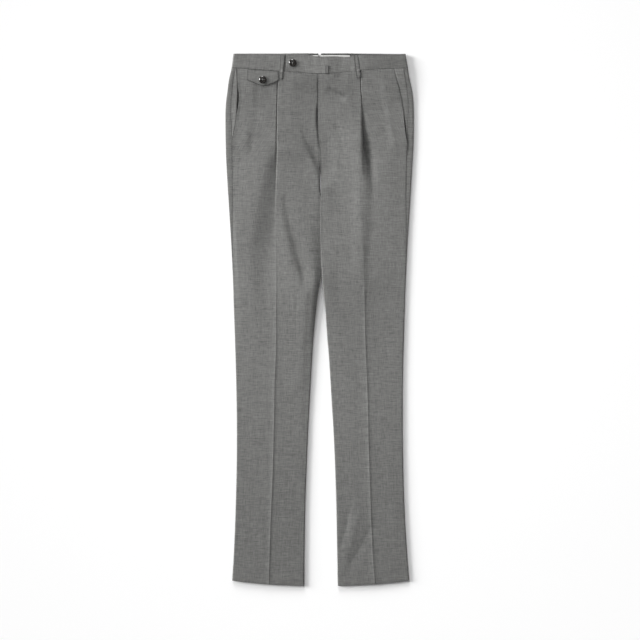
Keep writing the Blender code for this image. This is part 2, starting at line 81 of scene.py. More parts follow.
def completed(rows: tuple[tuple[float, ...], ...]) -> Array:
    """Fills the rows of a table: one that is cut short goes on as the row before it does.

    Args:
        rows: The rows, the first one whole.

    Returns:
        The rows, all as long as the first.
    """
    full = [rows[0]]
    for row in rows[1:]:
        full.append((*row, *full[-1][len(row):]))
    return np.array(full, float)


class Table:
    """Sizes in named columns, with a smooth curve through each column's rows."""

    def __init__(self, names: str, *rows: tuple[float, ...]) -> None:
        """Keeps one array for each name; the first column is the one that the others are read at."""
        self.columns = dict(zip(names.split(), completed(rows).T))
        self.places = next(iter(self.columns.values()))

    def at(self, column: str, place: Array | float) -> Array:
        """Reads a column at any place.

        With t the share of the way between two rows, h their distance and m the slopes, the value is
        y0 + (3t² - 2t³)(y1 - y0) + h(t(1 - t)² m0 - t²(1 - t) m1). A slope is held to three times the
        flatter of its neighbours, so the curve doesn't overshoot.

        Args:
            column: Name of the column.
            place: Where to read it, in the first column's terms.

        Returns:
            The values, in the shape of place.
        """
        x = self.places
        y = self.columns[column]
        step = np.diff(x)
        slope = np.diff(y) / step
        middle = (slope[1:] + slope[:-1]) / 2
        limit = 3 * np.minimum(np.abs(slope[1:]), np.abs(slope[:-1]))
        middle = np.clip(middle, -limit, limit) * (slope[1:] * slope[:-1] > 0)
        tangent = np.concatenate((slope[:1], middle, slope[-1:]))
        place = np.clip(place, x[0], x[-1])
        cell = np.clip(np.searchsorted(x, place, side="right") - 1, 0, len(x) - 2)
        t = (place - x[cell]) / step[cell]
        run = t * t * (3 - 2 * t)
        bend = t * (1 - t) ** 2 * tangent[cell] - t * t * (1 - t) * tangent[cell + 1]
        return y[cell] + run * (y[cell + 1] - y[cell]) + step[cell] * bend


def ramp(value: Array | float, start: float | Array, end: float | Array) -> Array:
    """0 before start, 1 after end, and t²(3 - 2t) between them."""
    t = np.clip((value - start) / (end - start), 0, 1)
    return t * t * (3 - 2 * t)


def runs(start: Array, end: Array, count: int) -> Array:
    """Columns spread evenly between two others, without the ends."""
    return start + (end - start) * np.arange(1, count + 1) / (count + 1)


# Half widths to the outer edge of each half
OUTER = Table(
    "below right left",
    (0, 180.7, 180.2), (18, 183.2, 183), (31, 185, 185.4), (44, 188, 187.4), (56, 190.6, 189.8),
    (81, 194, 195), (106, 197.1, 197.4), (131, 198.1, 198), (161, 198), (193, 197.5, 197.2),
    (224, 196.5, 195.4), (287, 192.9, 191.7), (350, 188.9, 187.7), (413, 185.2, 183.9),
    (476, 182.3, 180.9), (539, 180.3, 178.6), (602, 178.1, 176.9), (665, 176.2, 175), (728, 174.8, 174.3),
    (791, 174.1, 174.4), (854, 174.3, 175.2), (917, 175.6, 176.8), (980, 177.4, 179.4),
    (1043, 180.1, 183.4), (1108, 183.6, 188), (1119, 184.2, 188.8))

# Where each front ends at the centre, along +X; "turned" is 1 for an edge that turns over
INNER = Table(
    "below right left turned",
    (30, 6, -3.5, 0), (150,), (170, 6, -2.6), (187, 5.8, -1.5), (204, 4.5, -0.4), (216, 2.8, 0.4),
    (225, 1.6, 0.9), (236, 0.6, 1.2), (247, 0.2, 1.9), (262, 0.2, 2.4, 0.6), (277, 0.2, 2.6, 1),
    (292, 2, 2.5), (316, 7, 2), (340, 7.6, 1.6), (372, 8), (414, 8.2, 2.4), (436, 7.6, 2.8),
    (456, 5.8, 4.2), (468, 4.4, 4.6), (478, 2.8, 5.2), (489, 0.4, 6.4), (498, -1.8, 7.6),
    (519, -4.8, 9.8), (540, -7.3, 12), (582, -11.8, 14.9), (645, -16.2, 19.9), (729, -21, 25),
    (791, -24.2, 28.8), (834, -26, 31), (939, -30, 34.6), (1044, -31.9, 36.7), (1119, -32.6, 38.2))

# How far the left half stands over the right one: its fly alone, its inner leg and its thigh; and
# how far the right inner leg stands off the floor beside it
STACK = Table(
    "below fly leg thigh right",
    (30, 1, 0, 0, 0), (130,), (190, 1, 0, 0.12), (230, 0.9, 0, 0.24), (247, 0.2, 0.1, 0.32),
    (262, 0, 0.4, 0.42), (290, 0, 1, 0.62), (320, 0, 1, 0.8), (350, 0, 1, 0.94), (380, 0, 1, 1),
    (414, 0, 1.12, 1.05, 0.16), (440, 0, 1.22, 1.1, 0.42), (470, 0, 1.38, 1.14, 0.72),
    (480, 0, 1.38, 1.12, 0.82), (500, 0, 1.24, 1.04, 0.96), (530, 0, 0.95, 0.88, 0.86),
    (582, 0, 0.5, 0.56, 0.52), (645, 0, 0.14, 0.25, 0.24), (720, 0, 0, 0, 0.06), (780, 0, 0, 0, 0),
    (1119,))

# Back panel's cloth that shows on top, from the outermost line to the side seam
SIDE_SEAM = Table(
    "below wrap",
    (30, 9), (100, 11.5), (193, 14), (224, 13.6), (281, 11.5), (346, 7), (400, 3.5), (450, 1), (500, 0),
    (1119,))

# Slant pockets' openings, and how far each one's edge gapes: drawn in, and lifted
SLANT = Table(
    "below right left",
    (30, 173.4, 156), (45, 173, 159), (65, 172.4, 164.4), (85, 172.5, 169.2), (105, 173.4, 173),
    (135, 175, 178), (157, 178.3, 181.4), (173, 181.2, 183.2), (193, 184.3, 184.1), (205,))
GAPE = Table(
    "below right left",
    (30, 0, 0), (44, 0.05, 0.1), (54, 0.1, 0.6), (64, 0.3, 0.9), (74, 0.8, 0.7), (84, 2.7, 0.3),
    (96, 3.4, 0.15), (108, 3.2), (119, 1.6, 0.3), (128, 0.5, 0.7), (142, 0.3, 1.6), (160, 0.2, 2.4),
    (176, 0.1, 1.9), (188, 0, 0.3), (193, 0, 0))

# Fold line of each pleat, and the pressed crease that it runs out into
CREASE = Table(
    "below right left",
    (30, 86.3, 84), (60, 87.1, 85), (98, 88.2, 86.8), (140, 89, 88.6), (184, 89.9, 89.4),
    (204, 89.9, 89.5), (225, 89.8, 89.2), (250, 90.2, 88.2), (300, 91.6, 87.2), (346, 92.8, 88.4),
    (400, 92.3, 91.3), (440, 91.7, 93), (476, 91.2, 93.6), (617, 91.8, 96.3), (701, 94.6, 100),
    (814, 96.8, 102.9), (911, 99.8, 105.8), (995, 103.4, 108.8), (1119, 107, 115.8))

# The pleats' folded cloth: turning angle in degrees and length of each turn, cloth between the
# turns, and how far ahead of the fold line the first turn starts. The left one opens as a soft roll.
PLEAT = {
    Half.RIGHT: Table(
        "below angle turn depth lead",
        (36, 180, 2.1, 20, 0.8), (110, 180, 2.1, 18, 0.9), (160, 180, 2.1, 14, 1),
        (190, 176, 1.6, 5, 1.1), (215, 100, 1, 1.5), (240, 36, 1, 0.7), (270, 16, 1.4, 0.7, 1),
        (305, 10, 1.6, 0.6), (345, 5, 1.6, 0.8, 1.6), (400, 2, 4, 3, 5), (460, 0, 6, 4, 8), (1119,)),
    Half.LEFT: Table(
        "below angle turn depth lead",
        (36, 180, 2.1, 20, 0.8), (100, 180, 2.1, 18), (124, 180, 2.1, 14, 0.7), (150, 178, 2.4, 8, 0.6),
        (175, 150, 2.6, 3.4, 0.5), (200, 84, 2, 3.8, 0.6), (224, 40, 1.7, 6.6, 0.8),
        (249, 14, 2, 14.5, 1), (274, 7, 2.5, 20), (300, 4, 3, 24), (329, 3, 4, 26, 0.8),
        (360, 3, 4, 22, 0.4), (392, 4, 3.5, 12, -0.5), (434, 6, 3, 2, -1.5), (476, 4, 3, 2, -1),
        (520, 2, 4, 2, 4.5), (560, 0, 6, 4, 8), (1119,))}

# Beside each pleat the cloth stands as high as the folded edge: its height, and how far from the
# fold line it has reached it
BANK = {
    Half.RIGHT: Table(
        "below height foot",
        (36, 2.5, 3), (150,), (190, 2.4, 3.4), (212, 2.3, 5), (235, 2, 15), (270, 1.6, 22),
        (305, 1.1, 26), (345, 0.6, 30), (400, 0), (1119,)),
    Half.LEFT: Table(
        "below height foot",
        (36, 2.5, 3), (80,), (100, 1.6, 3.5), (124, 0.5, 6), (150, 0.3, 20), (175, 0.6, 30),
        (200, 1.4, 34), (224, 2.2, 36), (249, 2.8), (274, 2.8, 34), (300, 2.2, 36), (329, 1.8),
        (360, 1.4, 30), (392, 1, 24), (434, 0.5, 20), (476, 0.2, 18), (520, 0), (1119,))}

# How the right leg falls away where the left one lies on it, and how wide and how puffed it is
UNDER = Table(
    "below drop width puff",
    (330, 0, 24, 0), (372, 0.9, 24, 0.2), (414, 1.9, 24, 0.5), (456, 2.8, 20, 0.6), (498, 3.2, 14, 0.5),
    (540, 2.6, 12, 0.4), (582, 1.6, 10, 0.3), (645, 0.6, 9, 0.1), (700, 0, 9, 0), (1119,))

# Height of the pressed creases
RIDGE = Table(
    "below height",
    (30, 0), (240,), (330, 0.15), (430, 0.42), (560, 0.85), (900, 1.1), (1119, 1))

# How far the fronts stay under the band's face at the seam
SEAM_STEP = Table(
    "across step",
    (-190, 0.1), (-150, 0.2), (-120, 1.1), (-92, 0.9), (-80, 0.3), (-58,), (-30,), (-8, 0.5), (-4, 0.2),
    (32, 0.3), (44, 0.7), (66, 0.8), (110, 0.4), (140, 0.2), (170, 0), (190,))

# Lower edge of the front band, which the panels hang from, and its top edge
BAND_EDGE = Table(
    "across top bottom",
    (-190, 1.2, 31.6), (-181, 1.2, 32), (-150, 1.2, 33.6), (-120, 1.2, 36), (-80, 1.6, 38.8),
    (-55, 2.2, 41.2), (-30, 3.2, 43), (-18, 4.8, 43.7), (-10, 6.9, 44.2), (4, 7.9), (34, 7.2, 42.8),
    (55, 8.4, 40.4), (66, 8.2, 39.3), (76, 5.4, 38.3), (84, 3.6, 37.5), (118, 3, 34.8), (158, 2.4, 33.2),
    (181, 1.6, 32), (190, 1.4, 31.6))
BAND_BACK_EDGE = Table(
    "reach top bottom",
    (0, 0.3, 37.5), (34, 0, 37.2), (90, 0.5, 36), (150, 1, 33.4), (181, 1.4, 32), (190, 1.4, 31.6))

# Lower edge of the hems
HEM = Table(
    "reach below",
    (30, 1119.2), (60, 1118), (85, 1116.9), (105, 1115.6), (125, 1114.3), (150, 1112.1), (170, 1109.9),
    (190, 1106.8))

# Lower edge of the coin pocket's flap
FLAP = Table(
    "across bottom",
    (-153, 56.5), (-140, 62.4), (-127, 67.8), (-119.9, 69.5), (-108, 67.2), (-98.7, 64.3), (-89, 59.6),
    (-85.4, 56.6))

# Turned profile of a horn button
BUTTON = Table(
    "step radius height",
    (0, 0, 0), (6.4, 6.4), (7.8, 7.7, 0.6), (8.7, 8, 1.2), (9.8, 7.7, 1.75), (10.8, 6.2, 2.8),
    (11.7, 5.6, 2.95), (12.7, 5, 2.75), (14.5, 3.5, 2.3), (17.8, 0, 2.1))


@dataclass(frozen=True)
class Fold:
    """One soft fold of the cloth, along a line through a few places.

    Its height is rise · exp(-(d / width)²), where d is the distance from the line. The rise and the
    widths on its two flanks change smoothly from place to place.
    """
    rows: tuple[tuple[float, ...], ...]    # across, below, rise, width on the near and far flank

    def lift(self, across: Array, below: Array) -> Array:
        """Works out the fold's height.

        A place is measured along and away from the chord between the line's ends, and "away" is
        counted from the line itself. Away is less than 0 on the near flank: for a line that runs down
        the garment, the one with the smaller X.

        Args:
            across: Places along +X.
            below: Distances below the waist.

        Returns:
            The height at each place.
        """
        rows = completed(self.rows)
        start = rows[0, :2]
        chord = rows[-1, :2] - start
        span = np.hypot(*chord)
        chord /= span
        aside = np.array((chord[1], -chord[0]))
        runs_at = (rows[:, :2] - start) @ chord / span
        asides = (rows[:, :2] - start) @ aside
        line = Table("run aside rise near far", *np.column_stack((runs_at, asides, rows[:, 2:])))
        run = ((across - start[0]) * chord[0] + (below - start[1]) * chord[1]) / span
        away = (across - start[0]) * aside[0] + (below - start[1]) * aside[1] - line.at("aside", run)
        width = np.where(away < 0, line.at("near", run), line.at("far", run))
        return line.at("rise", run) * np.exp(-(away / width) ** 2)


def crease(near: float, far: float, rise: float, *line: tuple[float, float]) -> Fold:
    """A short fold through three places: its widths stay the same, and its ends have no rise."""
    return Fold(tuple((*place, lift, near, far) for place, lift in zip(line, (0, rise, 0))))


@dataclass(frozen=True)
class Ripple:
    """Faint unevenness of pressed cloth: waves of seeded length, heading and phase, added up."""
    seed: int
    height: float
    shortest: float
    longest: float
    count: int = 16

    def lift(self, across: Array, below: Array) -> Array:
        """Works out height · Σ sin(2π(x cos h + y sin h) / length + phase) / √(count / 2).

        Args:
            across: Places along +X.
            below: Distances below the waist.

        Returns:
            The height at each place.
        """
        random = np.random.default_rng(self.seed)
        length = random.uniform(self.shortest, self.longest, self.count)
        heading = random.uniform(0, math.pi, self.count)
        phase = random.uniform(0, math.tau, self.count)
        across, below = np.broadcast_arrays(across, below)
        run = across[..., None] * np.cos(heading) + below[..., None] * np.sin(heading)
        waves = np.sin(math.tau * run / length + phase)
        return self.height * waves.sum(-1) / math.sqrt(self.count / 2)


RIGHT_FOLDS = (
    # The open pleat: cloth that stands beside it, and the hollow along its fold
    Fold(((-109, 190, 0, 29, 6), (-111, 224, 1.5, 38, 8), (-122, 262, 2.5, 50, 15),
          (-132, 308, 3.3, 55, 19), (-141, 361, 3.5, 50, 21), (-147, 424, 2.9, 46, 23),
          (-147, 497, 1.7, 46, 25), (-143, 581, 0.5, 50, 29), (-141, 644, 0))),
    Fold(((-91, 190, 0, 3, 12), (-92, 216, -0.6, 7, 16), (-92, 249, -1, 11, 24),
          (-93, 287, -1.15, 15, 30), (-94, 329, -1.25, 16, 28), (-99, 382, -1.1, 17, 20),
          (-105, 438, -0.8, 17, 14), (-113, 518, -0.4, 17, 12), (-118, 581, 0, 17, 10))),
    Fold(((-90, 196, 0, 2, 2), (-91, 225, -0.45, 2.6, 1.8), (-91.6, 262, -0.3), (-93, 300, -0.2),
          (-94, 336, 0, 2, 2))),
    # The thigh's drag line and the ridge beside it
    Fold(((-78, 258, 0, 8, 8), (-80, 308, 0.5, 10), (-78, 350, 0.9, 13), (-69, 392, 1.1, 13, 10),
          (-61, 430, 0.9), (-52, 468, 0.3), (-48, 497, 0))),
    Fold(((-72, 250, 0, 8, 13), (-71, 300, -0.6, 8, 17), (-68, 332, -1.1), (-61, 366, -1.6, 8, 22),
          (-53, 396, -2.1, 8, 26), (-45, 428, -2.8, 7, 30), (-38, 455, -2.9, 6),
          (-33, 478, -1.6, 6, 24), (-29, 502, 0, 6, 18))),
    # The drag line that runs to the foot of the fly, and the ridge above it
    Fold(((-42, 140, 0, 5, 14), (-35, 163, -0.5), (-26, 187, -1.3), (-16.5, 206, -2.7, 6, 30),
          (-8.5, 225, -3, 5.5, 28), (-2.5, 238, -2.4, 5, 22), (0.5, 254, -1.2, 4, 14), (2, 276, 0, 4, 9))),
    # The cloth rolls over along the inner leg
    Fold(((-29, 484, 0, 17, 8), (-29, 518, 1), (-34, 581), (-38, 644, 0.7), (-40, 728, 0.5),
          (-42, 833, 0.3), (-44, 938, 0))),
    # Faint lines at the hip and on the thigh
    Fold(((-146, 81, 0, 6, 6), (-146, 130, -0.5), (-145, 172), (-143, 214, 0))),
    crease(3.2, 3.2, -0.8, (-48.3, 505), (-48.3, 526), (-48.3, 547)),
    # Beside the fly's edge the cloth stands almost as high as it, and where the fly gapes it doesn't
    Fold(((-6, 40, 1, 26, 1), (-6, 104), (-7.4, 118, 0.9, 24, 1.5), (-8.4, 132, 0.8, 22, 2),
          (-7.6, 152, 0.7, 20), (-5.4, 172, 0.5, 18, 1.6), (-3.6, 190, 0.2, 18, 1.3),
          (-2.2, 212, 0, 18, 1.2), (-1, 240, 0.2, 16), (-0.6, 268, 0.4, 14, 1.4), (-0.8, 304, 0, 12))),
    Fold(((-3.6, 106, 0, 2.4, 6), (-3.6, 120, -2, 2.8), (-3.6, 140, -2.4, 3), (-2.9, 160, -1.5, 2.4, 5),
          (-1.8, 190, 0, 2, 4))),
    # Knee, calf and ankle
    crease(10, 13, -0.4, (-148, 620), (-128, 671), (-120, 720)),
    crease(8, 13, -0.4, (-60, 699), (-52, 770), (-59, 820)),
    crease(8, 10, -0.45, (-150, 930), (-140, 984), (-143, 1041)),
)

LEFT_FOLDS = (
    # The fly's edge stands off where it gapes
    Fold(((-4, 106, 0, 6, 30), (-4, 132, 0.6, 6, 34), (-4, 148, 0.8, 6, 36), (-4, 170, 0.6, 6, 34),
          (-3, 199, 0, 6, 30))),
    # Ridge of the open pleat, and the hollow beside it
    Fold(((86, 170, 0, 12, 8), (86.5, 205, 0.9, 13, 10), (86.5, 260, 1.9, 14, 14),
          (86.5, 308, 2.2, 15, 16), (86.5, 361, 2.1), (87.5, 413, 1.5, 17, 14), (89, 476, 1, 20, 12),
          (91, 560, 0.5, 25, 15), (93, 644, 0, 25, 17))),
    Fold(((88.6, 100, 0, 2.1, 3), (89.6, 124, -1, 2.2, 4), (90.4, 150, -2.6, 2.6, 6),
          (93, 178, -3.6, 4, 11), (96.5, 200, -4.4, 6, 12), (100, 222, -4.2, 7), (104, 245, -2.8),
          (108, 272, -1.6, 8), (110, 308, -0.9, 9, 14), (107, 361, -0.6, 8), (101, 403, -0.6, 7, 13),
          (96, 445, -0.5, 5, 12), (94, 497, 0, 5, 14))),
    # Lines across the hip
    Fold(((14, 68, 0, 14, 5), (24, 75, -1.2, 18, 4), (36, 81, -1.7, 20), (49, 88, -1.5, 18),
          (60, 94, 0, 14, 5))),
    Fold(((30, 84, 0, 12, 4), (42, 90, -0.6, 12, 3), (56, 97, -0.5), (66, 102, 0, 12, 4))),
    Fold(((27, 136, 0, 6, 8), (38, 161, -0.5), (48, 193, -0.6), (57, 224, 0))),
    # Creases across the shin
    Fold(((67, 934, 0, 8, 6), (60, 976, -0.7, 8, 5), (52, 1009, -0.9), (44, 1039, -0.3), (42, 1056, 0))),
    Fold(((88, 938, 0, 10, 8), (78, 980, 0.8), (67, 1022, 1), (55, 1060, 0.6), (44, 1098, 0))),
    Fold(((122, 963, 0, 6, 10), (105, 1001, -0.6), (86, 1037, -0.8), (69, 1068, -0.6), (52, 1104, 0))),
    # Knee, calf and ankle
    crease(13, 10, -0.45, (128, 560), (138, 640), (134, 701)),
    crease(13, 10, 0.4, (62, 640), (70, 701), (66, 770)),
    crease(10, 8, 0.45, (150, 900), (158, 959), (155, 1009)),
)
FRONT_FOLDS = {Half.RIGHT: RIGHT_FOLDS, Half.LEFT: LEFT_FOLDS}

# Painted shade: how much darker the cloth is made where shade falls, along the fly, down the right inner
# leg, in the drag line, the left pleat's hollow and the left hip's crease; paler if less than 0, as
# painted light over the left thigh
PAINTED_SHADES = {
    Half.RIGHT: (
        Fold(((-6.2, 34, 0.45, 1.3, 6), (-6.2, 60, 0.3, 1.2), (-6.2, 100, 0))),
        Fold(((-6, 104, 0, 2, 4), (-6, 120, 0.5, 2.6), (-6, 145, 0.6, 2.8), (-5, 164, 0.5, 2.4),
              (-3.2, 186, 0.55, 1.8), (-2, 206, 0.3, 2), (-1.2, 250, 0.4), (-0.6, 300, 0.3, 3),
              (-1, 330, 0.2), (-1, 360, 0))),
        Fold(((-3, 310, 0, 14, 12), (-2, 370, 0.22, 18), (-2, 414, 0.4), (-2, 445, 0.52, 15),
              (-2, 470, 0.55, 12), (-3, 500, 0.52, 8, 10), (-8, 530, 0.35, 6, 8), (-12, 582, 0.15),
              (-16, 645, 0))),
        Fold(((-26, 187, 0, 5, 10), (-17.5, 206, 0.28, 5, 8), (-9.5, 225, 0.34), (-4.5, 238, 0.3, 5, 7),
              (-1, 262, 0, 4)))),
    Half.LEFT: (
        Fold(((89.5, 118, 0, 2, 4), (90, 135, 0.4, 2.4), (91.5, 160, 0.6, 4, 8), (94, 185, 0.75, 5, 9),
              (97, 205, 0.85, 7, 8), (101, 225, 0.8, 8, 6), (105, 248, 0.65), (109, 272, 0.35, 8, 8),
              (112, 300, 0))),
        Fold(((16, 70, 0, 2, 3), (26, 76, 0.18), (36, 82, 0.42, 2, 2.6), (50, 89, 0.48),
              (60, 94, 0, 2, 3))),
        Fold(((-4, 36, 0.5, 1.4, 1.4), (-4, 60, 0.4, 1.3, 1.3), (-4, 84, 0.4, 1.2, 1.2), (-4, 150, 0.2),
              (-2.6, 180, 0.5, 1.3, 1.3), (-0.2, 200, 0.55, 1.4, 2), (1.6, 225, 0.6, 1.4, 2.2),
              (2.4, 262), (2.8, 330), (3, 440, 0.4), (3.2, 500, 0))),
        Fold(((112, 190, 0, 60, 70), (116, 260, -0.12), (118, 330, -0.16), (118, 410, -0.14),
              (122, 500, 0)))),
}

# The backs lie on the floor, so their folds only rise from it
BACK_FOLDS = tuple(crease(*row) for row in (
    (9, 13, 0.9, (20, 262), (48, 300), (96, 322)),
    (12, 9, 0.8, (-18, 258), (-52, 306), (-104, 318)),
    (10, 8, 0.6, (30, 330), (70, 352), (120, 350)),
    (8, 11, 0.7, (-28, 338), (-62, 360), (-96, 372)),
    (14, 10, 0.5, (112, 120), (118, 190), (108, 260)),
    (11, 13, 0.55, (-120, 100), (-116, 170), (-124, 240)),
    (8, 10, 0.8, (40, 600), (88, 622), (150, 612)),
    (10, 8, 0.7, (-44, 588), (-92, 606), (-158, 596)),
    (7, 9, 0.45, (36, 640), (96, 668), (140, 664)),
    (9, 7, 0.55, (-52, 636), (-100, 650), (-132, 668)),
    (13, 10, 0.4, (72, 800), (84, 880), (80, 960)),
    (10, 14, 0.4, (-76, 780), (-70, 860), (-82, 930)),
    (8, 10, 0.5, (140, 1000), (126, 1050), (132, 1090)),
    (10, 8, 0.45, (-142, 990), (-130, 1036), (-136, 1086))))

FRONT_RIPPLE = Ripple(seed=11, height=0.07, shortest=28, longest=95)
BACK_RIPPLE = Ripple(seed=23, height=0.10, shortest=30, longest=120)
BAND_RIPPLE = Ripple(seed=37, height=0.10, shortest=16, longest=60)


@dataclass(frozen=True)
class Form:
    """Sizes that the garment's pieces share."""
    length: float = 1119.0
    half_waist: float = 181.0
    cloth: float = 1.0
    gap: float = 0.3
    seam: float = 0.1               # between two pieces that are sewn edge to edge
    edge_radius: float = 1.8        # middle surface where a panel turns over at the edge
    fork: Span = (236.0, 262.0)     # rows over which a back's centre seam becomes its inner leg
    dome: float = 0.7               # rise of the upper layer half-way across
    dome_rows: Span = (235.0, 320.0)    # over which its middle moves out to the leg's
    sink: float = 1.2               # hollow of the upper layer under the pleat at the waist
    sink_width: float = 26.0
    sink_rows: Span = (60.0, 110.0)
    pleat_slope: float = 72.0       # the upper layer comes down over this, past the folded cloth
    pleat_lead: float = 0.8         # from the fold line to where the cloth is down on its other side
    pleat_opens: Span = (200.0, 260.0)
    pleat_opening: float = 20.0
    folded_angles: Span = (90.0, 170.0)
    bank_reach: Span = (30.0, 110.0)    # from the fold line, over which the cloth comes down again
    puff_reach: Span = (40.0, 110.0)
    band: float = 2.4
    band_back_level: float = 3.1
    band_front_level: float = 7.4
    band_dome: float = 0.8
    tab_lift: float = 2.7
    tab_lift_reach: Span = (14.0, 50.0)
    tab_front_reach: Span = (30.0, 82.0)
    back_waist_rise: float = 1.9
    back_waist_rows: Span = (60.0, 125.0)
    back_folds_side: Span = (3.0, 22.0)     # the backs' folds begin within these of their edges
    back_folds_inner: Span = (2.0, 16.0)
    back_folds_top: Span = (70.0, 110.0)
    back_folds_hem: Span = (1085.0, 1112.0)
    front_folds_side: Span = (1.0, 13.0)
    front_folds_inner: Span = (-1.0, 7.0)
    front_folds_top: Span = (34.0, 62.0)
    pocket_end: float = 193.0
    pocket_lift: float = 1.5
    pocket_rows: Span = (189.0, 221.0)
    facing_reach: Span = (45.0, 28.0)   # in from the opening, where the front comes up on the facing
    fly_lift: float = 1.5
    fly_lift_reach: Span = (12.0, 80.0)
    leg_lift: float = 6.2
    leg_lift_reach: Span = (12.0, 42.0)
    leg_front_reach: Span = (14.0, 196.0)
    waist_row: float = 40.0
    waist_fade: float = 70.0
    hem_fade: float = 80.0
    seam_rise: float = 46.0         # below the waist seam, over which the fronts come up to the band
    crease_near: float = 4.0        # how fast a pressed crease falls, on its side with the smaller X
    crease_far: float = 2.1
    hem_wall: float = 0.5           # more thickness where the hem is turned up inside
    hem_turn: Span = (1079.0, 1085.0)
    # painted shade towards the hems, and the rows over which it grows
    hem_shade: float = 0.2
    painted_hem_shade_rows: Span = (620.0, 1080.0)
    lip_lift: float = 0.45          # a gaping pocket's edge stands up by this
    lip_width: float = 5.5


FORM = Form()


def band_level(half: Half, reach: Array) -> Array:
    """Middle surface of the front band; the left one passes over the right one, by tab_lift."""
    lift = FORM.tab_lift * (1 - ramp(reach, *FORM.tab_lift_reach)) * (half is Half.LEFT)
    return FORM.band_front_level + FORM.band_dome * (1 - (reach / FORM.half_waist) ** 2) + lift


def edge_turn(arc: Array) -> tuple[Array, Array]:
    """Goes round a turned edge.

    Args:
        arc: Distance round the edge from its outermost line, more than 0 above it.

    Returns:
        How far in and how far up each place is: r(1 - cos a) and r sin a, then flat.
    """
    angle = np.clip(arc / FORM.edge_radius, -math.pi / 2, math.pi / 2)
    flat = np.maximum(np.abs(arc) - FORM.edge_radius * math.pi / 2, 0)
    return FORM.edge_radius * (1 - np.cos(angle)) + flat, FORM.edge_radius * np.sin(angle)


def place(half: Half, reach: Array, below: Array, level: Array) -> Array:
    """Points of a grid."""
    return np.stack((half.side * reach, FORM.length / 2 - below + 0 * reach, level), axis=-1)


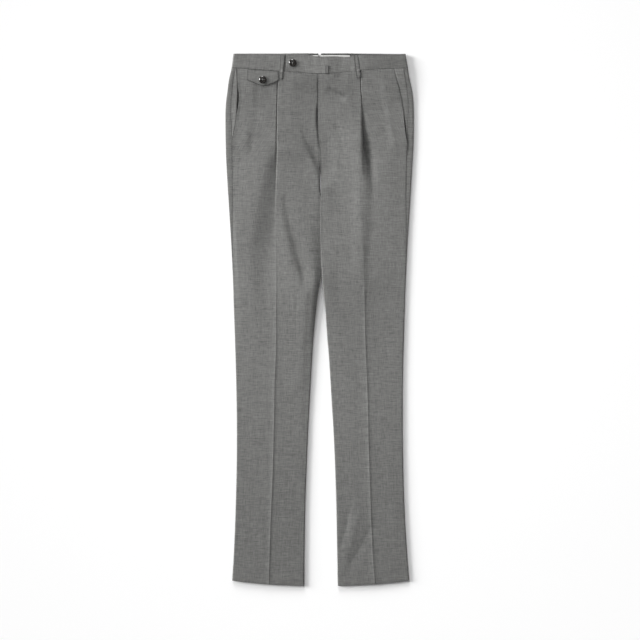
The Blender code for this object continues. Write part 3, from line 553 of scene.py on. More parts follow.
@dataclass(frozen=True)
class Rows:
    """Edges and levels of one half's panels, in rows at some distances below the waist."""
    half: Half
    below: Array | float

    def at_waist(self) -> "Rows":
        """The row at the waist seam."""
        return Rows(self.half, FORM.waist_row)

    def _shift(self, band: Array, reach: Array | float) -> Array:
        """Moves rows down: the first follows the band's lower edge, and the last the hem.

        Args:
            band: Distance of the band's lower edge below the waist.
            reach: Places across the half.

        Returns:
            How far down each place is moved.
        """
        from_waist = 1 - ramp(self.below, FORM.waist_row, FORM.waist_row + FORM.waist_fade)
        hem = ramp(self.below, FORM.length - FORM.hem_fade, FORM.length)
        return (band + FORM.seam - FORM.waist_row) * from_waist + (
            HEM.at("below", reach) - FORM.length) * hem

    def shift(self, reach: Array | float) -> Array:
        """How far down a front's rows are moved."""
        return self._shift(BAND_EDGE.at("bottom", self.half.side * reach), reach)

    def back_shift(self, reach: Array | float) -> Array:
        """How far down a back's rows are moved."""
        return self._shift(BAND_BACK_EDGE.at("bottom", reach), reach)

    def at_slant(self) -> Array:
        """Distances below the waist of the rows where they meet the slant opening."""
        return self.below + self.shift(170.0)

    def outer(self) -> Array:
        """Outermost reach of a panel's middle surface."""
        return OUTER.at(self.half.label, self.below + self.shift(190.0)) - FORM.cloth / 2

    def inner(self) -> Array:
        """Reach of a panel's centre or inner-leg edge, on its middle surface."""
        turned = INNER.at("turned", self.below) * FORM.cloth / 2
        return self.half.side * INNER.at(self.half.label, self.below) + turned

    def back_inner(self) -> Array:
        """The same for a back: the centre-back seam, then the inner leg."""
        leg = ramp(self.below, *FORM.fork)
        return (1 - leg) * FORM.gap / 2 + leg * self.inner()

    def inner_columns(self, edge: Array, arc: Array) -> tuple[Array, Array]:
        """Columns at an inner edge, which lies open above the crotch and turns over below it.

        Args:
            edge: Reach of the edge in each row.
            arc: Distance of each column round the edge.

        Returns:
            The columns' reach, and their height over the edge's middle line.
        """
        turned = INNER.at("turned", self.below)
        inward, height = edge_turn(arc)
        reach = edge + turned * inward + (1 - turned) * (np.abs(arc) - FORM.seam / 2)
        return reach, turned * height + (1 - turned) * np.sign(arc) * FORM.edge_radius

    def past_crease(self, reach: Array) -> Array:
        """Distance outwards from the pleat's fold line and the pressed crease."""
        return reach - CREASE.at(self.half.label, self.below)

    def leg_over(self, reach: Array) -> Array:
        """Height of an inner leg off the floor, which dies out away from its edge."""
        column = "leg" if self.half is Half.LEFT else "right"
        return FORM.leg_lift * STACK.at(column, self.below) * (1 - ramp(reach, *FORM.leg_lift_reach))

    def back_flat(self, reach: Array) -> Array:
        """Middle surface of the under layer, without its folds."""
        waist = FORM.back_waist_rise * (1 - ramp(self.below, *FORM.back_waist_rows))
        return FORM.cloth / 2 + waist + self.leg_over(reach)

    def back_level(self, reach: Array) -> Array:
        """Middle surface of the under layer, whose folds rise from the floor.

        Args:
            reach: Places across the half.

        Returns:
            The level at each place.
        """
        below = self.below
        across = self.half.side * reach
        lifts = sum(fold.lift(across, below) for fold in BACK_FOLDS)
        lifts = lifts + np.maximum(BACK_RIPPLE.lift(across, below), 0)
        inside = ramp(self.outer() - reach, *FORM.back_folds_side)
        inside = inside * ramp(reach - self.back_inner(), *FORM.back_folds_inner)
        inside = inside * ramp(below, *FORM.back_folds_top) * (1 - ramp(below, *FORM.back_folds_hem))
        flat = self.back_flat(reach)
        room = self.upper_level(reach) - flat - FORM.cloth - FORM.gap
        return flat + np.clip(lifts * inside, 0, np.maximum(room, 0))

    def plain_level(self, reach: Array) -> Array:
        """Middle surface of the upper layer, without its folds.

        It is the under layer's level, the turned edge, a crown 1 - s² with s from -1 to 1 across the
        layer, the pressed crease e^(-|d| / w), steeper on the side with the larger X, and a sink
        under the pleat at the waist.

        Args:
            reach: Places across the half.

        Returns:
            The level at each place.
        """
        outer = self.outer()
        middle = ramp(self.below, *FORM.dome_rows) * (self.inner() + outer) / 2
        share = (reach - middle) / (outer - middle)
        crown = FORM.dome * np.clip(1 - share * share, 0, 1)
        column = "thigh" if self.half is Half.LEFT else "right"
        wide = STACK.at(column, self.below) * (1 - ramp(reach, *FORM.leg_front_reach))
        over = FORM.leg_lift * ramp(reach, *FORM.leg_lift_reach) * wide
        away = self.past_crease(reach)
        flank = np.where(self.half.side * away < 0, FORM.crease_near, FORM.crease_far)
        pressed = RIDGE.at("height", self.below) * np.exp(-np.abs(away) / flank)
        sink = -FORM.sink * np.exp(-(away / FORM.sink_width) ** 2)
        sink = sink * (1 - ramp(self.below, *FORM.sink_rows))
        return self.back_flat(reach) + 2 * FORM.edge_radius + crown + pressed + sink + over

    def folds(self, reach: Array) -> Array:
        """Height of a front's folds and of its faint unevenness, which die out at turned edges.

        Beside the pleat the cloth comes down from the bank's height as 1 - s². Where the left leg
        lies on the right one, that falls away by drop · (1 - s)², and is puffed up before it.

        Args:
            reach: Places across the half.

        Returns:
            The height at each place.
        """
        half, below = self.half, self.below
        across = half.side * reach
        lifts = sum(fold.lift(across, below) for fold in FRONT_FOLDS[half])
        lifts = lifts + FRONT_RIPPLE.lift(across, below)
        turned = INNER.at("turned", below)
        edge = ramp(self.outer() - reach, *FORM.front_folds_side)
        inner = ramp(reach - self.inner(), *FORM.front_folds_inner)
        lifts = lifts * edge * (1 - turned * (1 - inner)) * ramp(below, *FORM.front_folds_top)
        past = self.past_crease(reach)
        foot = BANK[half].at("foot", below) - FORM.pleat_lead
        rest = np.clip(1 - (past - FORM.pleat_lead) / foot, 0, 1)
        bank = BANK[half].at("height", below) * (1 - rest * rest)
        bank = bank * (1 - ramp(past, *FORM.bank_reach))
        if half is Half.LEFT:
            return lifts + bank
        seen = np.maximum(self.inner(), -INNER.at("left", below))
        near = np.clip((reach - seen) / UNDER.at("width", below), 0, 1)
        puff = ramp(near, 0, 1) * (1 - ramp(reach, *FORM.puff_reach))
        fall = UNDER.at("puff", below) * puff - UNDER.at("drop", below) * (1 - near) ** 2
        return lifts + bank + fall

    def upper_level(self, reach: Array) -> Array:
        """Middle surface of the upper layer, without its pleat and what lies under it."""
        return self.plain_level(reach) + self.folds(reach)

    def front_level(self, reach: Array) -> Array:
        """Middle surface of a front, which lies on the pocket facing and, on the left, on the fly.

        Near the waist it comes up to the band's face, as cloth does that is sewn to it.

        Args:
            reach: Places across the half.

        Returns:
            The level at each place.
        """
        opening = SLANT.at(self.half.label, self.below)
        gape = GAPE.at(self.half.label, self.below)
        facing = FORM.pocket_lift * ramp(reach, *(opening - inset for inset in FORM.facing_reach))
        pocket = facing * (1 - ramp(self.below, *FORM.pocket_rows))
        lip = ramp(reach, opening - gape - FORM.lip_width, opening - gape)
        lip = FORM.lip_lift * np.minimum(gape, 1) * lip * (self.below < FORM.pocket_end + 1)
        fly = FORM.fly_lift * STACK.at("fly", self.below) * (1 - ramp(reach, *FORM.fly_lift_reach))
        fly = fly * (self.half is Half.LEFT)
        at_seam = self.at_waist().plain_level(reach) + facing + fly
        return self.upper_level(reach) + pocket + lip + fly + self.up_to_band(reach, at_seam)

    def up_to_band(self, reach: Array, at_seam: Array) -> Array:
        """Brings cloth up to the face that it is sewn to: the band's, or the tab's on the right half.

        It rises by what is missing at the seam, times 1 - ramp over seam_rise.

        Args:
            reach: Places across the half.
            at_seam: The cloth's own middle surface at the waist seam.

        Returns:
            The lift at each place.
        """
        face = band_level(self.half, reach) + (FORM.band - FORM.cloth) / 2
        if self.half is Half.RIGHT:
            face = face + FORM.tab_lift * (1 - ramp(reach, *FORM.tab_front_reach))
        missing = np.maximum(face - SEAM_STEP.at("step", self.half.side * reach) - at_seam, 0)
        return missing * (1 - ramp(self.below, FORM.waist_row, FORM.waist_row + FORM.seam_rise))

    def pleat(self, column: str) -> Array:
        """A size of the pleat's folded cloth in each row."""
        return PLEAT[self.half].at(column, self.below)

    def pleat_rise(self) -> Array:
        """Height of the folded cloth: 2 t sinc(a / 2) sin(a / 2) for its turns, and depth · sin(a).

        Returns:
            The height in each row.
        """
        angle = np.radians(self.pleat("angle"))
        turns = 2 * self.pleat("turn") * np.sinc(angle / 2 / math.pi) * np.sin(angle / 2)
        return turns + self.pleat("depth") * np.sin(angle)

    def pleat_share(self, reach: Array) -> Array:
        """How much of the pleat's height is left towards the centre of the front."""
        end = -self.pleat("depth") * ramp(self.pleat("angle"), *FORM.folded_angles)
        return ramp(self.past_crease(reach), end - FORM.pleat_slope, end - 2)

    def front_top(self, reach: Array) -> Array:
        """Top face of a front, pleat included.

        Args:
            reach: Places across the half.

        Returns:
            The level at each place.
        """
        foot = 2 * FORM.pleat_lead + FORM.pleat_opening * ramp(self.below, *FORM.pleat_opens)
        rise = self.pleat_rise() * self.pleat_share(reach)
        rise = rise * (1 - ramp(self.past_crease(reach), FORM.pleat_lead, foot))
        return self.front_level(reach) + rise + FORM.cloth / 2


def front_surface(across: Array, below: Array) -> Array:
    """Top face of the fronts: the left one from the fly's edge on, the right one elsewhere."""
    right, left = (Rows(half, below).front_top(half.side * across) for half in Half)
    return np.where(across > INNER.at("left", below), left, right)


@dataclass
class Sheet:
    """Middle surface of a piece: its points, and their places on the flat cloth."""
    points: Array                       # rows × columns × 3
    origin: tuple[float, float]         # where the cut lies on the cloth, so that no two match
    centre: int = 0                     # column that the flat cloth is measured from
    thickness: float | Array = FORM.cloth
    press: Array | float = 0.0          # 1 on a pressed crease
    tint: Array | float = 0.0           # painted shade: how much darker the cloth is made, from 0 to 1; below 0, paler, as painted light

    def flat(self) -> Array:
        """Lays the sheet out flat, by the distance along each row and the distance down the piece.

        Returns:
            The places on the cloth, rows × columns × 2.
        """
        step = np.linalg.norm(np.diff(self.points[..., ::2], axis=1), axis=-1)
        along = np.pad(np.cumsum(step, axis=1), ((0, 0), (1, 0)))
        along = along - along[:, self.centre:self.centre + 1]
        return np.stack((along + self.origin[0], self.origin[1] - self.points[..., 1]), axis=-1)

    def area(self) -> float:
        """Adds up the cross products of each cell's sides.

        Returns:
            The sheet's area in square metres.
        """
        across = np.diff(self.points, axis=1)[:-1]
        down = np.diff(self.points, axis=0)[:, :-1]
        return float(np.linalg.norm(np.cross(across, down), axis=-1).sum()) * MM * MM

    def extent(self) -> tuple[float, float]:
        """Width and length of the flat cut, in metres."""
        flat = self.flat()
        return tuple(float(size) * MM for size in np.ptp(flat, axis=(0, 1)))


def unit(vectors: Array) -> Array:
    """Vectors of length 1."""
    return vectors / np.maximum(np.linalg.norm(vectors, axis=-1, keepdims=True), 1e-9)


def mesh_object(
        name: str, points: Array, faces: list, material: Material, uv: Array | None = None,
        marks: dict[str, Array] | None = None) -> Piece:
    """Makes an object from points in millimetres, with smooth shading.

    Args:
        name: Name of the piece.
        points: The points, n × 3.
        faces: Rows of point numbers, turning to the left as seen from outside.
        material: The piece's finish.
        uv: Place of each point on the flat material, n × 2.
        marks: Named values from 0 to 1 at each point.

    Returns:
        The object, at the origin.
    """
    mesh = bpy.data.meshes.new(name)
    mesh.from_pydata((points * MM).tolist(), [], faces)
    mesh.shade_smooth()
    if uv is not None:
        corner = np.empty(len(mesh.loops), np.int32)
        mesh.loops.foreach_get("vertex_index", corner)
        layer = mesh.uv_layers.new(name="cloth")
        layer.uv.foreach_set("vector", (uv[corner] * MM).astype(np.float32).ravel())
    for key, values in (marks or {}).items():
        attribute = mesh.attributes.new(key, "FLOAT", "POINT")
        attribute.data.foreach_set("value", values.astype(np.float32).ravel())
    mesh.materials.append(material)
    made = bpy.data.objects.new(name, mesh)
    bpy.context.scene.collection.objects.link(made)
    return made


def grid_faces(rows: int, columns: int) -> Array:
    """Quads of a grid whose points are numbered row by row."""
    index = np.arange(rows * columns).reshape(rows, columns)
    return np.stack((index[:-1, :-1], index[:-1, 1:], index[1:, 1:], index[1:, :-1]), -1).reshape(-1, 4)


def ring_faces(index: Array) -> Array:
    """Quads between closed rings, from the numbers of their points, one ring in each row."""
    after = np.roll(index, -1, axis=1)
    return np.stack((index[:-1], after[:-1], after[1:], index[1:]), -1).reshape(-1, 4)


@dataclass(frozen=True)
class Rim:
    """How a wall of cloth closes at its border."""
    steps: int = 5
    bulge: float = 0.4      # 1 for a half-round rim
    span: float = 4.0       # thicknesses over which the points make room for it
    worn: float = 1.6       # how far the edge mark reaches in from it: handling, and on cloth also painted shade


@dataclass(frozen=True)
class Shell:
    """Closed wall of cloth round a sheet, with a rounded rim."""
    name: str
    sheet: Sheet
    rim: Rim

    def _inset(self, points: Array, axis: int) -> tuple[Array, Array]:
        """Moves points in from two opposite borders, by half a thickness at the border itself.

        With s the distance from the border and L = span · thickness, a point moves by
        bulge · thickness / 2 · (1 - s / L)², so that the order of the points stays.

        Args:
            points: The grid.
            axis: 0 for the first and last rows, and 1 for the first and last columns.

        Returns:
            The moved grid, and each point's distance from the nearer border.
        """
        step = np.linalg.norm(np.diff(points, axis=axis), axis=-1)
        pad = ((1, 0), (0, 0)) if axis == 0 else ((0, 0), (1, 0))
        run = np.pad(np.cumsum(step, axis=axis), pad)
        rest = run.max(axis=axis, keepdims=True) - run
        tangent = unit(np.gradient(points, axis=axis, edge_order=2))
        thickness = np.broadcast_to(self.sheet.thickness, run.shape)
        reach = self.rim.span * thickness
        move = np.clip(1 - run / reach, 0, 1) ** 2 - np.clip(1 - rest / reach, 0, 1) ** 2
        move = move * thickness * self.rim.bulge / 2
        return points + tangent * move[..., None], np.minimum(run, rest)

    def build(self, material: Material) -> Piece:
        """Makes the wall.

        Both faces are the middle surface moved by half the thickness along its normal n, and the rim
        is (n cos θ + bulge · o sin θ) · thickness / 2 from the border, with o the way out of it. The
        edge mark is e^(-d / worn), with d the distance from the border.

        Args:
            material: The cloth's finish.

        Returns:
            The object.
        """
        sheet = self.sheet
        points, from_ends = self._inset(sheet.points, 0)
        points, from_sides = self._inset(points, 1)
        rows, columns = points.shape[:2]
        normal = unit(np.cross(
            np.gradient(points, axis=1, edge_order=2), np.gradient(points, axis=0, edge_order=2)))
        half = np.broadcast_to(sheet.thickness, (rows, columns))[..., None] / 2
        count = rows * columns
        index = np.arange(count).reshape(rows, columns)
        ring = np.concatenate((index[0, :], index[1:, -1], index[-1, -2::-1], index[-2:0:-1, 0]))
        border, border_normal = (grid.reshape(-1, 3)[ring] for grid in (points, normal))
        border_half = half.reshape(-1, 1)[ring]
        way = np.roll(border, -1, 0) - np.roll(border, 1, 0)
        out = unit(np.cross(way, border_normal))
        flat = sheet.flat().reshape(-1, 2)
        border_flat = flat[ring]
        flat_way = unit(np.roll(border_flat, -1, 0) - np.roll(border_flat, 1, 0))
        flat_out = np.stack((flat_way[:, 1], -flat_way[:, 0]), axis=-1)

        angle = np.arange(1, self.rim.steps)[:, None, None] * math.pi / self.rim.steps
        bulge = out * np.sin(angle) * self.rim.bulge
        rings = border + (border_normal * np.cos(angle) + bulge) * border_half
        ring_flat = border_flat + flat_out * angle * border_half
        all_points = np.concatenate([
            grid.reshape(-1, 3) for grid in (points + normal * half, points - normal * half, rings)])
        uv = np.concatenate((flat, flat, ring_flat.reshape(-1, 2)))
        edge = np.exp(-np.minimum(from_ends, from_sides) / self.rim.worn).reshape(-1)
        marks = {"edge": np.concatenate((edge, edge, np.ones((self.rim.steps - 1) * len(ring))))}
        for key, values in (("press", sheet.press), ("tint", sheet.tint)):
            values = np.broadcast_to(values, (rows, columns)).reshape(-1)
            marks[key] = np.concatenate((values, values, np.tile(values[ring], self.rim.steps - 1)))

        upper = grid_faces(rows, columns)
        loops = [ring]
        loops += [2 * count + k * len(ring) + np.arange(len(ring)) for k in range(self.rim.steps - 1)]
        loops += [ring + count]
        sides = [
            np.stack((a, b, np.roll(b, -1), np.roll(a, -1)), axis=-1)
            for a, b in zip(loops[:-1], loops[1:])]
        faces = np.concatenate((upper, upper[:, ::-1] + count, *sides))
        LOG.info("%s: %d faces", self.name, len(faces))
        return mesh_object(self.name, all_points, faces.tolist(), material, uv, marks)


def attach(piece: Piece, slot: str, node: str | None = None) -> Piece:
    """Fixes a piece to the garment.

    Args:
        piece: The finished piece.
        slot: Material slot; not used.
        node: The solid that it stands for.

    Returns:
        The piece.
    """
    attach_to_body(piece, "root")
    if node:
        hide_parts(node)
    return piece


class ClothPiece:
    """A wall of cloth round a middle surface, which stands for one solid."""
    node: str                       # name of the solid
    slot: str = "wool"
    rim: Rim = Rim()
    rests_on: tuple[str, ...] = ()
    own_cut: bool = True            # False for a piece that is sewn on another

    def sheet(self) -> Sheet:
        """Middle surface of the piece."""
        raise NotImplementedError

    def build(self, material: Material, with_pieces: tuple[Piece, ...] = ()) -> Piece:
        """Makes the piece and fixes it to the garment.

        Args:
            material: The cloth's finish.
            with_pieces: Separate pieces that are sewn on it; not used.

        Returns:
            The object.
        """
        sheet = self.sheet()
        piece = Shell(self.node + "_cloth", sheet, self.rim).build(material)
        attach(piece, self.slot, self.node)
        if self.own_cut:
            width, length = sheet.extent()
            list(self.rests_on)
            min(sheet.area(), width * length)
            list(with_pieces)
        return piece


@dataclass
class HalfPiece(ClothPiece):
    """A cloth piece that each half has."""
    stem: ClassVar[str]             # the piece's name without its half
    half: Half

    @property
    def node(self) -> str:
        """Name of the solid."""
        return f"{self.stem}_{self.half.label}"


class Graph:
    """Adds nodes to one tree, and links them as they are made."""

    def __init__(self, tree: Tree) -> None:
        """Keeps the tree."""
        self.tree = tree

    def wire(self, node: bpy.types.Node, sockets: Sockets) -> None:
        """Links or sets a node's inputs.

        Args:
            node: The node.
            sockets: Value of each input, or the output that it is linked to.
        """
        for key, value in sockets.items():
            if isinstance(value, Socket):
                self.tree.links.new(value, node.inputs[key])
            else:
                node.inputs[key].default_value = value

    def node(self, kind: str, sockets: Sockets, **settings: object) -> bpy.types.Node:
        """Makes a node.

        Args:
            kind: The end of Blender's name of the node type.
            sockets: Value of each input, or the output that it is linked to.
            settings: The node's own properties.

        Returns:
            The node.
        """
        made = self.tree.nodes.new(kind if kind.startswith("Node") else "ShaderNode" + kind)
        for key, value in settings.items():
            setattr(made, key, value)
        self.wire(made, sockets)
        return made

    def math(self, operation: str, *values: object) -> Socket:
        """One step of arithmetic."""
        return self.node("Math", dict(enumerate(values)), operation=operation).outputs[0]

    def attribute(self, name: str) -> Socket:
        """A named value of the piece."""
        return self.node("Attribute", {}, attribute_name=name).outputs["Fac"]

    def flat(self) -> Socket:
        """Place on the flat cloth or round the thread, in metres."""
        return self.node("UVMap", {}, uv_map="cloth").outputs[0]

    def noise(self, vector: object, scale: float, detail: float = 0.0) -> Socket:
        """Smooth noise from 0 to 1."""
        return self.node("TexNoise", {"Vector": vector, "Scale": scale, "Detail": detail}).outputs["Fac"]

    def bump(self, height: object, strength: float, distance: float) -> Socket:
        """Normals of a fine relief."""
        sockets = {"Strength": strength, "Distance": distance, "Height": height}
        return self.node("Bump", sockets).outputs[0]

    def blend(self, factor: object, a: object, b: object) -> Socket:
        """Mixes two colours; 0, 6, 7 and 2 are the Mix node's sockets for them."""
        mix = self.node("Mix", {0: factor, 6: a, 7: b}, data_type="RGBA", clamp_factor=False)
        return mix.outputs[2]

    def streak(self, u: object, v: object, width: object, length: object, layer: float) -> object:
        """Noise drawn out into streaks, from -0.5 to 0.5.

        Args:
            u: Coordinate across the streaks.
            v: Coordinate along them.
            width: Their usual width.
            length: Their usual length.
            layer: A number that tells one set of streaks from another.

        Returns:
            The output socket.
        """
        place = self.node("CombineXYZ", {
            "X": self.math("DIVIDE", u, width), "Y": self.math("DIVIDE", v, length), "Z": layer})
        return self.math("SUBTRACT", self.noise(place.outputs[0], 1.0), 0.5)


def new_group(name: str, inputs: dict[str, float], outputs: tuple[str, ...]) -> tuple[
        Graph, bpy.types.bpy_prop_collection, bpy.types.Node]:
    """Starts a node group whose inputs are a vector and some numbers.

    Args:
        name: Name of the group.
        inputs: Name and usual value of each number.
        outputs: Names of the values that it puts out.

    Returns:
        The group's graph, its inputs' sockets and its output node.
    """
    tree = bpy.data.node_groups.new(name, "ShaderNodeTree")
    tree.interface.new_socket(name="Vector", in_out="INPUT", socket_type="NodeSocketVector")
    for key, value in inputs.items():
        socket = tree.interface.new_socket(name=key, in_out="INPUT", socket_type="NodeSocketFloat")
        socket.default_value = value
    for key in outputs:
        tree.interface.new_socket(name=key, in_out="OUTPUT", socket_type="NodeSocketFloat")
    graph = Graph(tree)
    return graph, graph.node("NodeGroupInput", {}).outputs, graph.node("NodeGroupOutput", {})


def weave_group(
        dip: float = 0.6, fine_length: float = 0.012, weft_share: float = 0.16,
        clouds: float = 55.0) -> Tree:
    """Plain weave of light and dark threads.

    A place belongs to warp thread floor(u / pitch) and weft thread floor(v / pitch), and the warp is
    on top where their sum is even. A thread's relief is 1 - s² across it, with s from -1 to 1, and it
    dips at the ends of each float. Tone is 0.5, plus or minus the yarn's contrast by turns, plus the
    streaks of uneven yarn both ways, plus a mottle.

    Args:
        dip: How far a thread dips, as a share of its relief.
        fine_length: Length of the fine streaks.
        weft_share: How much stronger the weft's streaks are than the warp's.
        clouds: Scale of the mottle.

    Returns:
        The node group.
    """
    graph, given, result = new_group(
        "weave",
        {"Pitch": 0.0005, "Yarn": 0.1, "Fine": 0.3, "Slub": 0.3, "Slub width": 0.002,
         "Slub length": 0.03, "Mottle": 0.1},
        ("Tone", "Height"))
    u, v = graph.node("SeparateXYZ", {0: given["Vector"]}).outputs[:2]
    reliefs = []
    parities = []
    for coordinate in (u, v):
        thread = graph.math("DIVIDE", coordinate, given["Pitch"])
        centred = graph.math("MULTIPLY_ADD", graph.math("FRACT", thread), 2.0, -1.0)
        reliefs.append(graph.math("SUBTRACT", 1.0, graph.math("MULTIPLY", centred, centred)))
        parities.append(graph.math("FLOORED_MODULO", graph.math("FLOOR", thread), 2.0))
    over = graph.math("FLOORED_MODULO", graph.math("ADD", *parities), 2.0)
    warp, weft = (
        graph.math("MULTIPLY", across, graph.math("MULTIPLY_ADD", along, dip, 1 - dip))
        for across, along in (reliefs, reliefs[::-1]))
    height = graph.math("MULTIPLY_ADD", graph.math("SUBTRACT", warp, weft), over, weft)
    yarn = graph.math("MULTIPLY_ADD", graph.math("SUBTRACT", *parities), over, parities[1])
    tone = graph.math("MULTIPLY_ADD", graph.math("SUBTRACT", yarn, 0.5), given["Yarn"], 0.5)
    sets = (("Fine", graph.math("MULTIPLY", given["Pitch"], 2.0), fine_length, 0.0),
            ("Slub", given["Slub width"], given["Slub length"], 11.3))
    for way, (a, b) in enumerate(((u, v), (v, u))):
        for amount, width, length, layer in sets:
            streak = graph.streak(a, b, width, length, 3.7 * way + layer)
            share = graph.math("MULTIPLY", streak, 1 + weft_share * (way - 0.5))
            tone = graph.math("MULTIPLY_ADD", share, given[amount], tone)
    mottle = graph.math("SUBTRACT", graph.noise(given["Vector"], clouds, 2.0), 0.5)
    tone = graph.math("MULTIPLY_ADD", mottle, given["Mottle"], tone)
    graph.wire(result, {"Tone": tone, "Height": height})
    return graph.tree


def wear_group() -> Tree:
    """How handling changes a surface, and on cloth also painted shade at its rims: a patchy value that is
    strongest at edges.

    Edge is the mark from the piece, and the value is edge · (0.6 + 0.8 · noise).

    Returns:
        The node group.
    """
    graph, given, result = new_group("wear", {"Edge": 0.0, "Scale": 90.0}, ("Amount",))
    patches = graph.noise(given["Vector"], given["Scale"], 3.0)
    patchy = graph.math("MULTIPLY_ADD", patches, 0.8, 0.6)
    graph.wire(result, {"Amount": graph.math("MULTIPLY", patchy, given["Edge"])})
    return graph.tree


@dataclass(frozen=True)
class Finish:
    """What every finish has: a name, a roughness and the shader that it starts from."""
    name: str
    roughness: float

    def shader(self) -> tuple[Material, Graph, bpy.types.Node]:
        """Starts the material.

        Returns:
            The material, its graph and its shader node.
        """
        material = bpy.data.materials.new(self.name)
        material.use_nodes = True
        node = material.node_tree.nodes["Principled BSDF"]
        node.inputs["Roughness"].default_value = self.roughness
        return material, Graph(material.node_tree), node


@dataclass(frozen=True)
class ClothFinish(Finish):
    """Woven cloth, with its weave, its nap's sheen, a painted sheen on pressed creases, and edges darkened
    by handling and by painted shade.

    The piece's painted shade mark dims the colour by a set depth times the mark, at most a set limit,
    and less than 0 brightens it, as painted light.
    """
    dark: Colour
    light: Colour
    pitch: float = 0.00052
    yarn: float = 0.10
    fine: float = 0.74
    slub: float = 0.47
    slub_width: float = 0.0014
    slub_length: float = 0.055
    mottle: float = 0.11
    relief: float = 0.5
    sheen: float = 0.3
    sheen_roughness: float = 0.45
    specular: float = 0.22
    # edges darker, partly from handling and partly painted shade on rims that catch too much light
    edge_shade: float = 0.32
    # painted sheen: pressed creases are made paler
    press_painted_sheen: float = 0.05
    smoother: float = 0.12      # pale and pressed cloth is less rough by this
    # how deep the painted shade mark darkens, and the most that it darkens
    painted_shading_depth: float = 0.66
    painted_shading_most: float = 0.93

    def material(self, weave: Tree, wear: Tree) -> Material:
        """Builds the cloth's material.

        Args:
            weave: The weave's node group.
            wear: The wear's node group.

        Returns:
            The material.
        """
        material, graph, shader = self.shader()
        cloth = graph.flat()
        weave_tone, weave_height = graph.node("Group", {
            "Vector": cloth, "Pitch": self.pitch, "Yarn": self.yarn, "Fine": self.fine,
            "Slub": self.slub, "Slub width": self.slub_width, "Slub length": self.slub_length,
            "Mottle": self.mottle}, node_tree=weave).outputs
        press = graph.attribute("press")
        worn = graph.node("Group", {"Vector": cloth, "Edge": graph.attribute("edge")}, node_tree=wear)
        # edges darker by handling and by painted shade
        tone = graph.math("MULTIPLY_ADD", worn.outputs[0], -self.edge_shade, weave_tone)
        # painted sheen on pressed creases
        tone = graph.math("MULTIPLY_ADD", press, self.press_painted_sheen, tone)
        # painted shade and light from the piece's mark
        dim = graph.math("MULTIPLY", graph.attribute("tint"), self.painted_shading_depth)
        dim = graph.math("MINIMUM", dim, self.painted_shading_most)
        rough = graph.math(
            "MULTIPLY_ADD", weave_tone, -self.smoother, self.roughness + self.smoother / 2)
        graph.wire(shader, {
            "Base Color": graph.blend(dim, graph.blend(tone, self.dark, self.light), (0, 0, 0, 1)),
            "Roughness": graph.math("MULTIPLY_ADD", press, -self.smoother, rough),
            "Normal": graph.bump(weave_height, self.relief, self.pitch / 3),
            "Sheen Weight": self.sheen, "Sheen Roughness": self.sheen_roughness,
            "Specular IOR Level": self.specular})
        return material


@dataclass(frozen=True)
class HornFinish(Finish):
    """Polished horn: dark, with paler fibres that run one way, and unpolished in its holes."""
    dark: Colour = (0.004, 0.0035, 0.003, 1)
    pale: Colour = (0.022, 0.016, 0.012, 1)
    gloss: float = 0.8
    gloss_roughness: float = 0.22
    specular: float = 0.2
    fibre_turn: float = 28.0    # degrees
    fibre_scale: float = 900.0
    cloud_scale: float = 160.0

    def material(self, wear: Tree) -> Material:
        """Builds the horn's material: paler by 5 (fibres - 0.42) clouds + wear / 4.

        Args:
            wear: The wear's node group.

        Returns:
            The material.
        """
        material, graph, shader = self.shader()
        place = graph.node("TexCoord", {}).outputs["Object"]
        turned = graph.node("Mapping", {
            "Vector": place, "Rotation": (0, 0, math.radians(self.fibre_turn)),
            "Scale": (1, 0.18, 1)})
        fibres = graph.noise(turned.outputs[0], self.fibre_scale, 4.0)
        clouds = graph.noise(place, self.cloud_scale, 2.0)
        mask = graph.math("MULTIPLY", graph.math("SUBTRACT", fibres, 0.42), clouds)
        worn = graph.node("Group", {"Vector": place, "Edge": graph.attribute("edge")}, node_tree=wear)
        mask = graph.math("MULTIPLY_ADD", worn.outputs[0], 0.25, graph.math("MULTIPLY", mask, 5.0))
        limited = graph.node("Clamp", {"Value": mask}).outputs[0]
        rough = graph.math("MULTIPLY_ADD", worn.outputs[0], 0.06, self.roughness)
        face = graph.math("SUBTRACT", 1.0, graph.attribute("hole"))
        graph.wire(shader, {
            "Base Color": graph.blend(limited, self.dark, self.pale),
            "Roughness": graph.math("MULTIPLY_ADD", fibres, 0.04, rough),
            "Normal": graph.bump(fibres, 0.12, 0.00008),
            "Coat Weight": graph.math("MULTIPLY", face, self.gloss),
            "Coat Roughness": self.gloss_roughness,
            "Specular IOR Level": graph.math("MULTIPLY", face, self.specular)})
        return material


@dataclass(frozen=True)
class ThreadFinish(Finish):
    """Sewing thread, with the slant of its twist."""
    dark: Colour
    light: Colour
    round_scale: float = 1500.0
    long_scale: float = 9000.0

    def material(self) -> Material:
        """Builds the thread's material: stripes sin(round_scale · u + long_scale · v).

        Returns:
            The material.
        """
        material, graph, shader = self.shader()
        u, v = graph.node("SeparateXYZ", {0: graph.flat()}).outputs[:2]
        slant = graph.math(
            "MULTIPLY_ADD", u, self.round_scale, graph.math("MULTIPLY", v, self.long_scale))
        twist = graph.math("MULTIPLY_ADD", graph.math("SINE", slant), 0.5, 0.5)
        graph.wire(shader, {
            "Base Color": graph.blend(twist, self.dark, self.light),
            "Normal": graph.bump(twist, 0.5, 0.00005), "Sheen Weight": 0.2})
        return material


@dataclass(frozen=True)
class FloorFinish(Finish):
    """Matt pale card."""
    colour: Colour

    def material(self) -> Material:
        """Builds the floor's material, with a faint grain.

        Returns:
            The material.
        """
        material, graph, shader = self.shader()
        grain = graph.noise(graph.node("TexCoord", {}).outputs["Object"], 700.0, 2.0)
        graph.wire(shader, {
            "Base Color": self.colour, "Normal": graph.bump(grain, 0.05, 0.0002),
            "Specular IOR Level": 0.1})
        return material


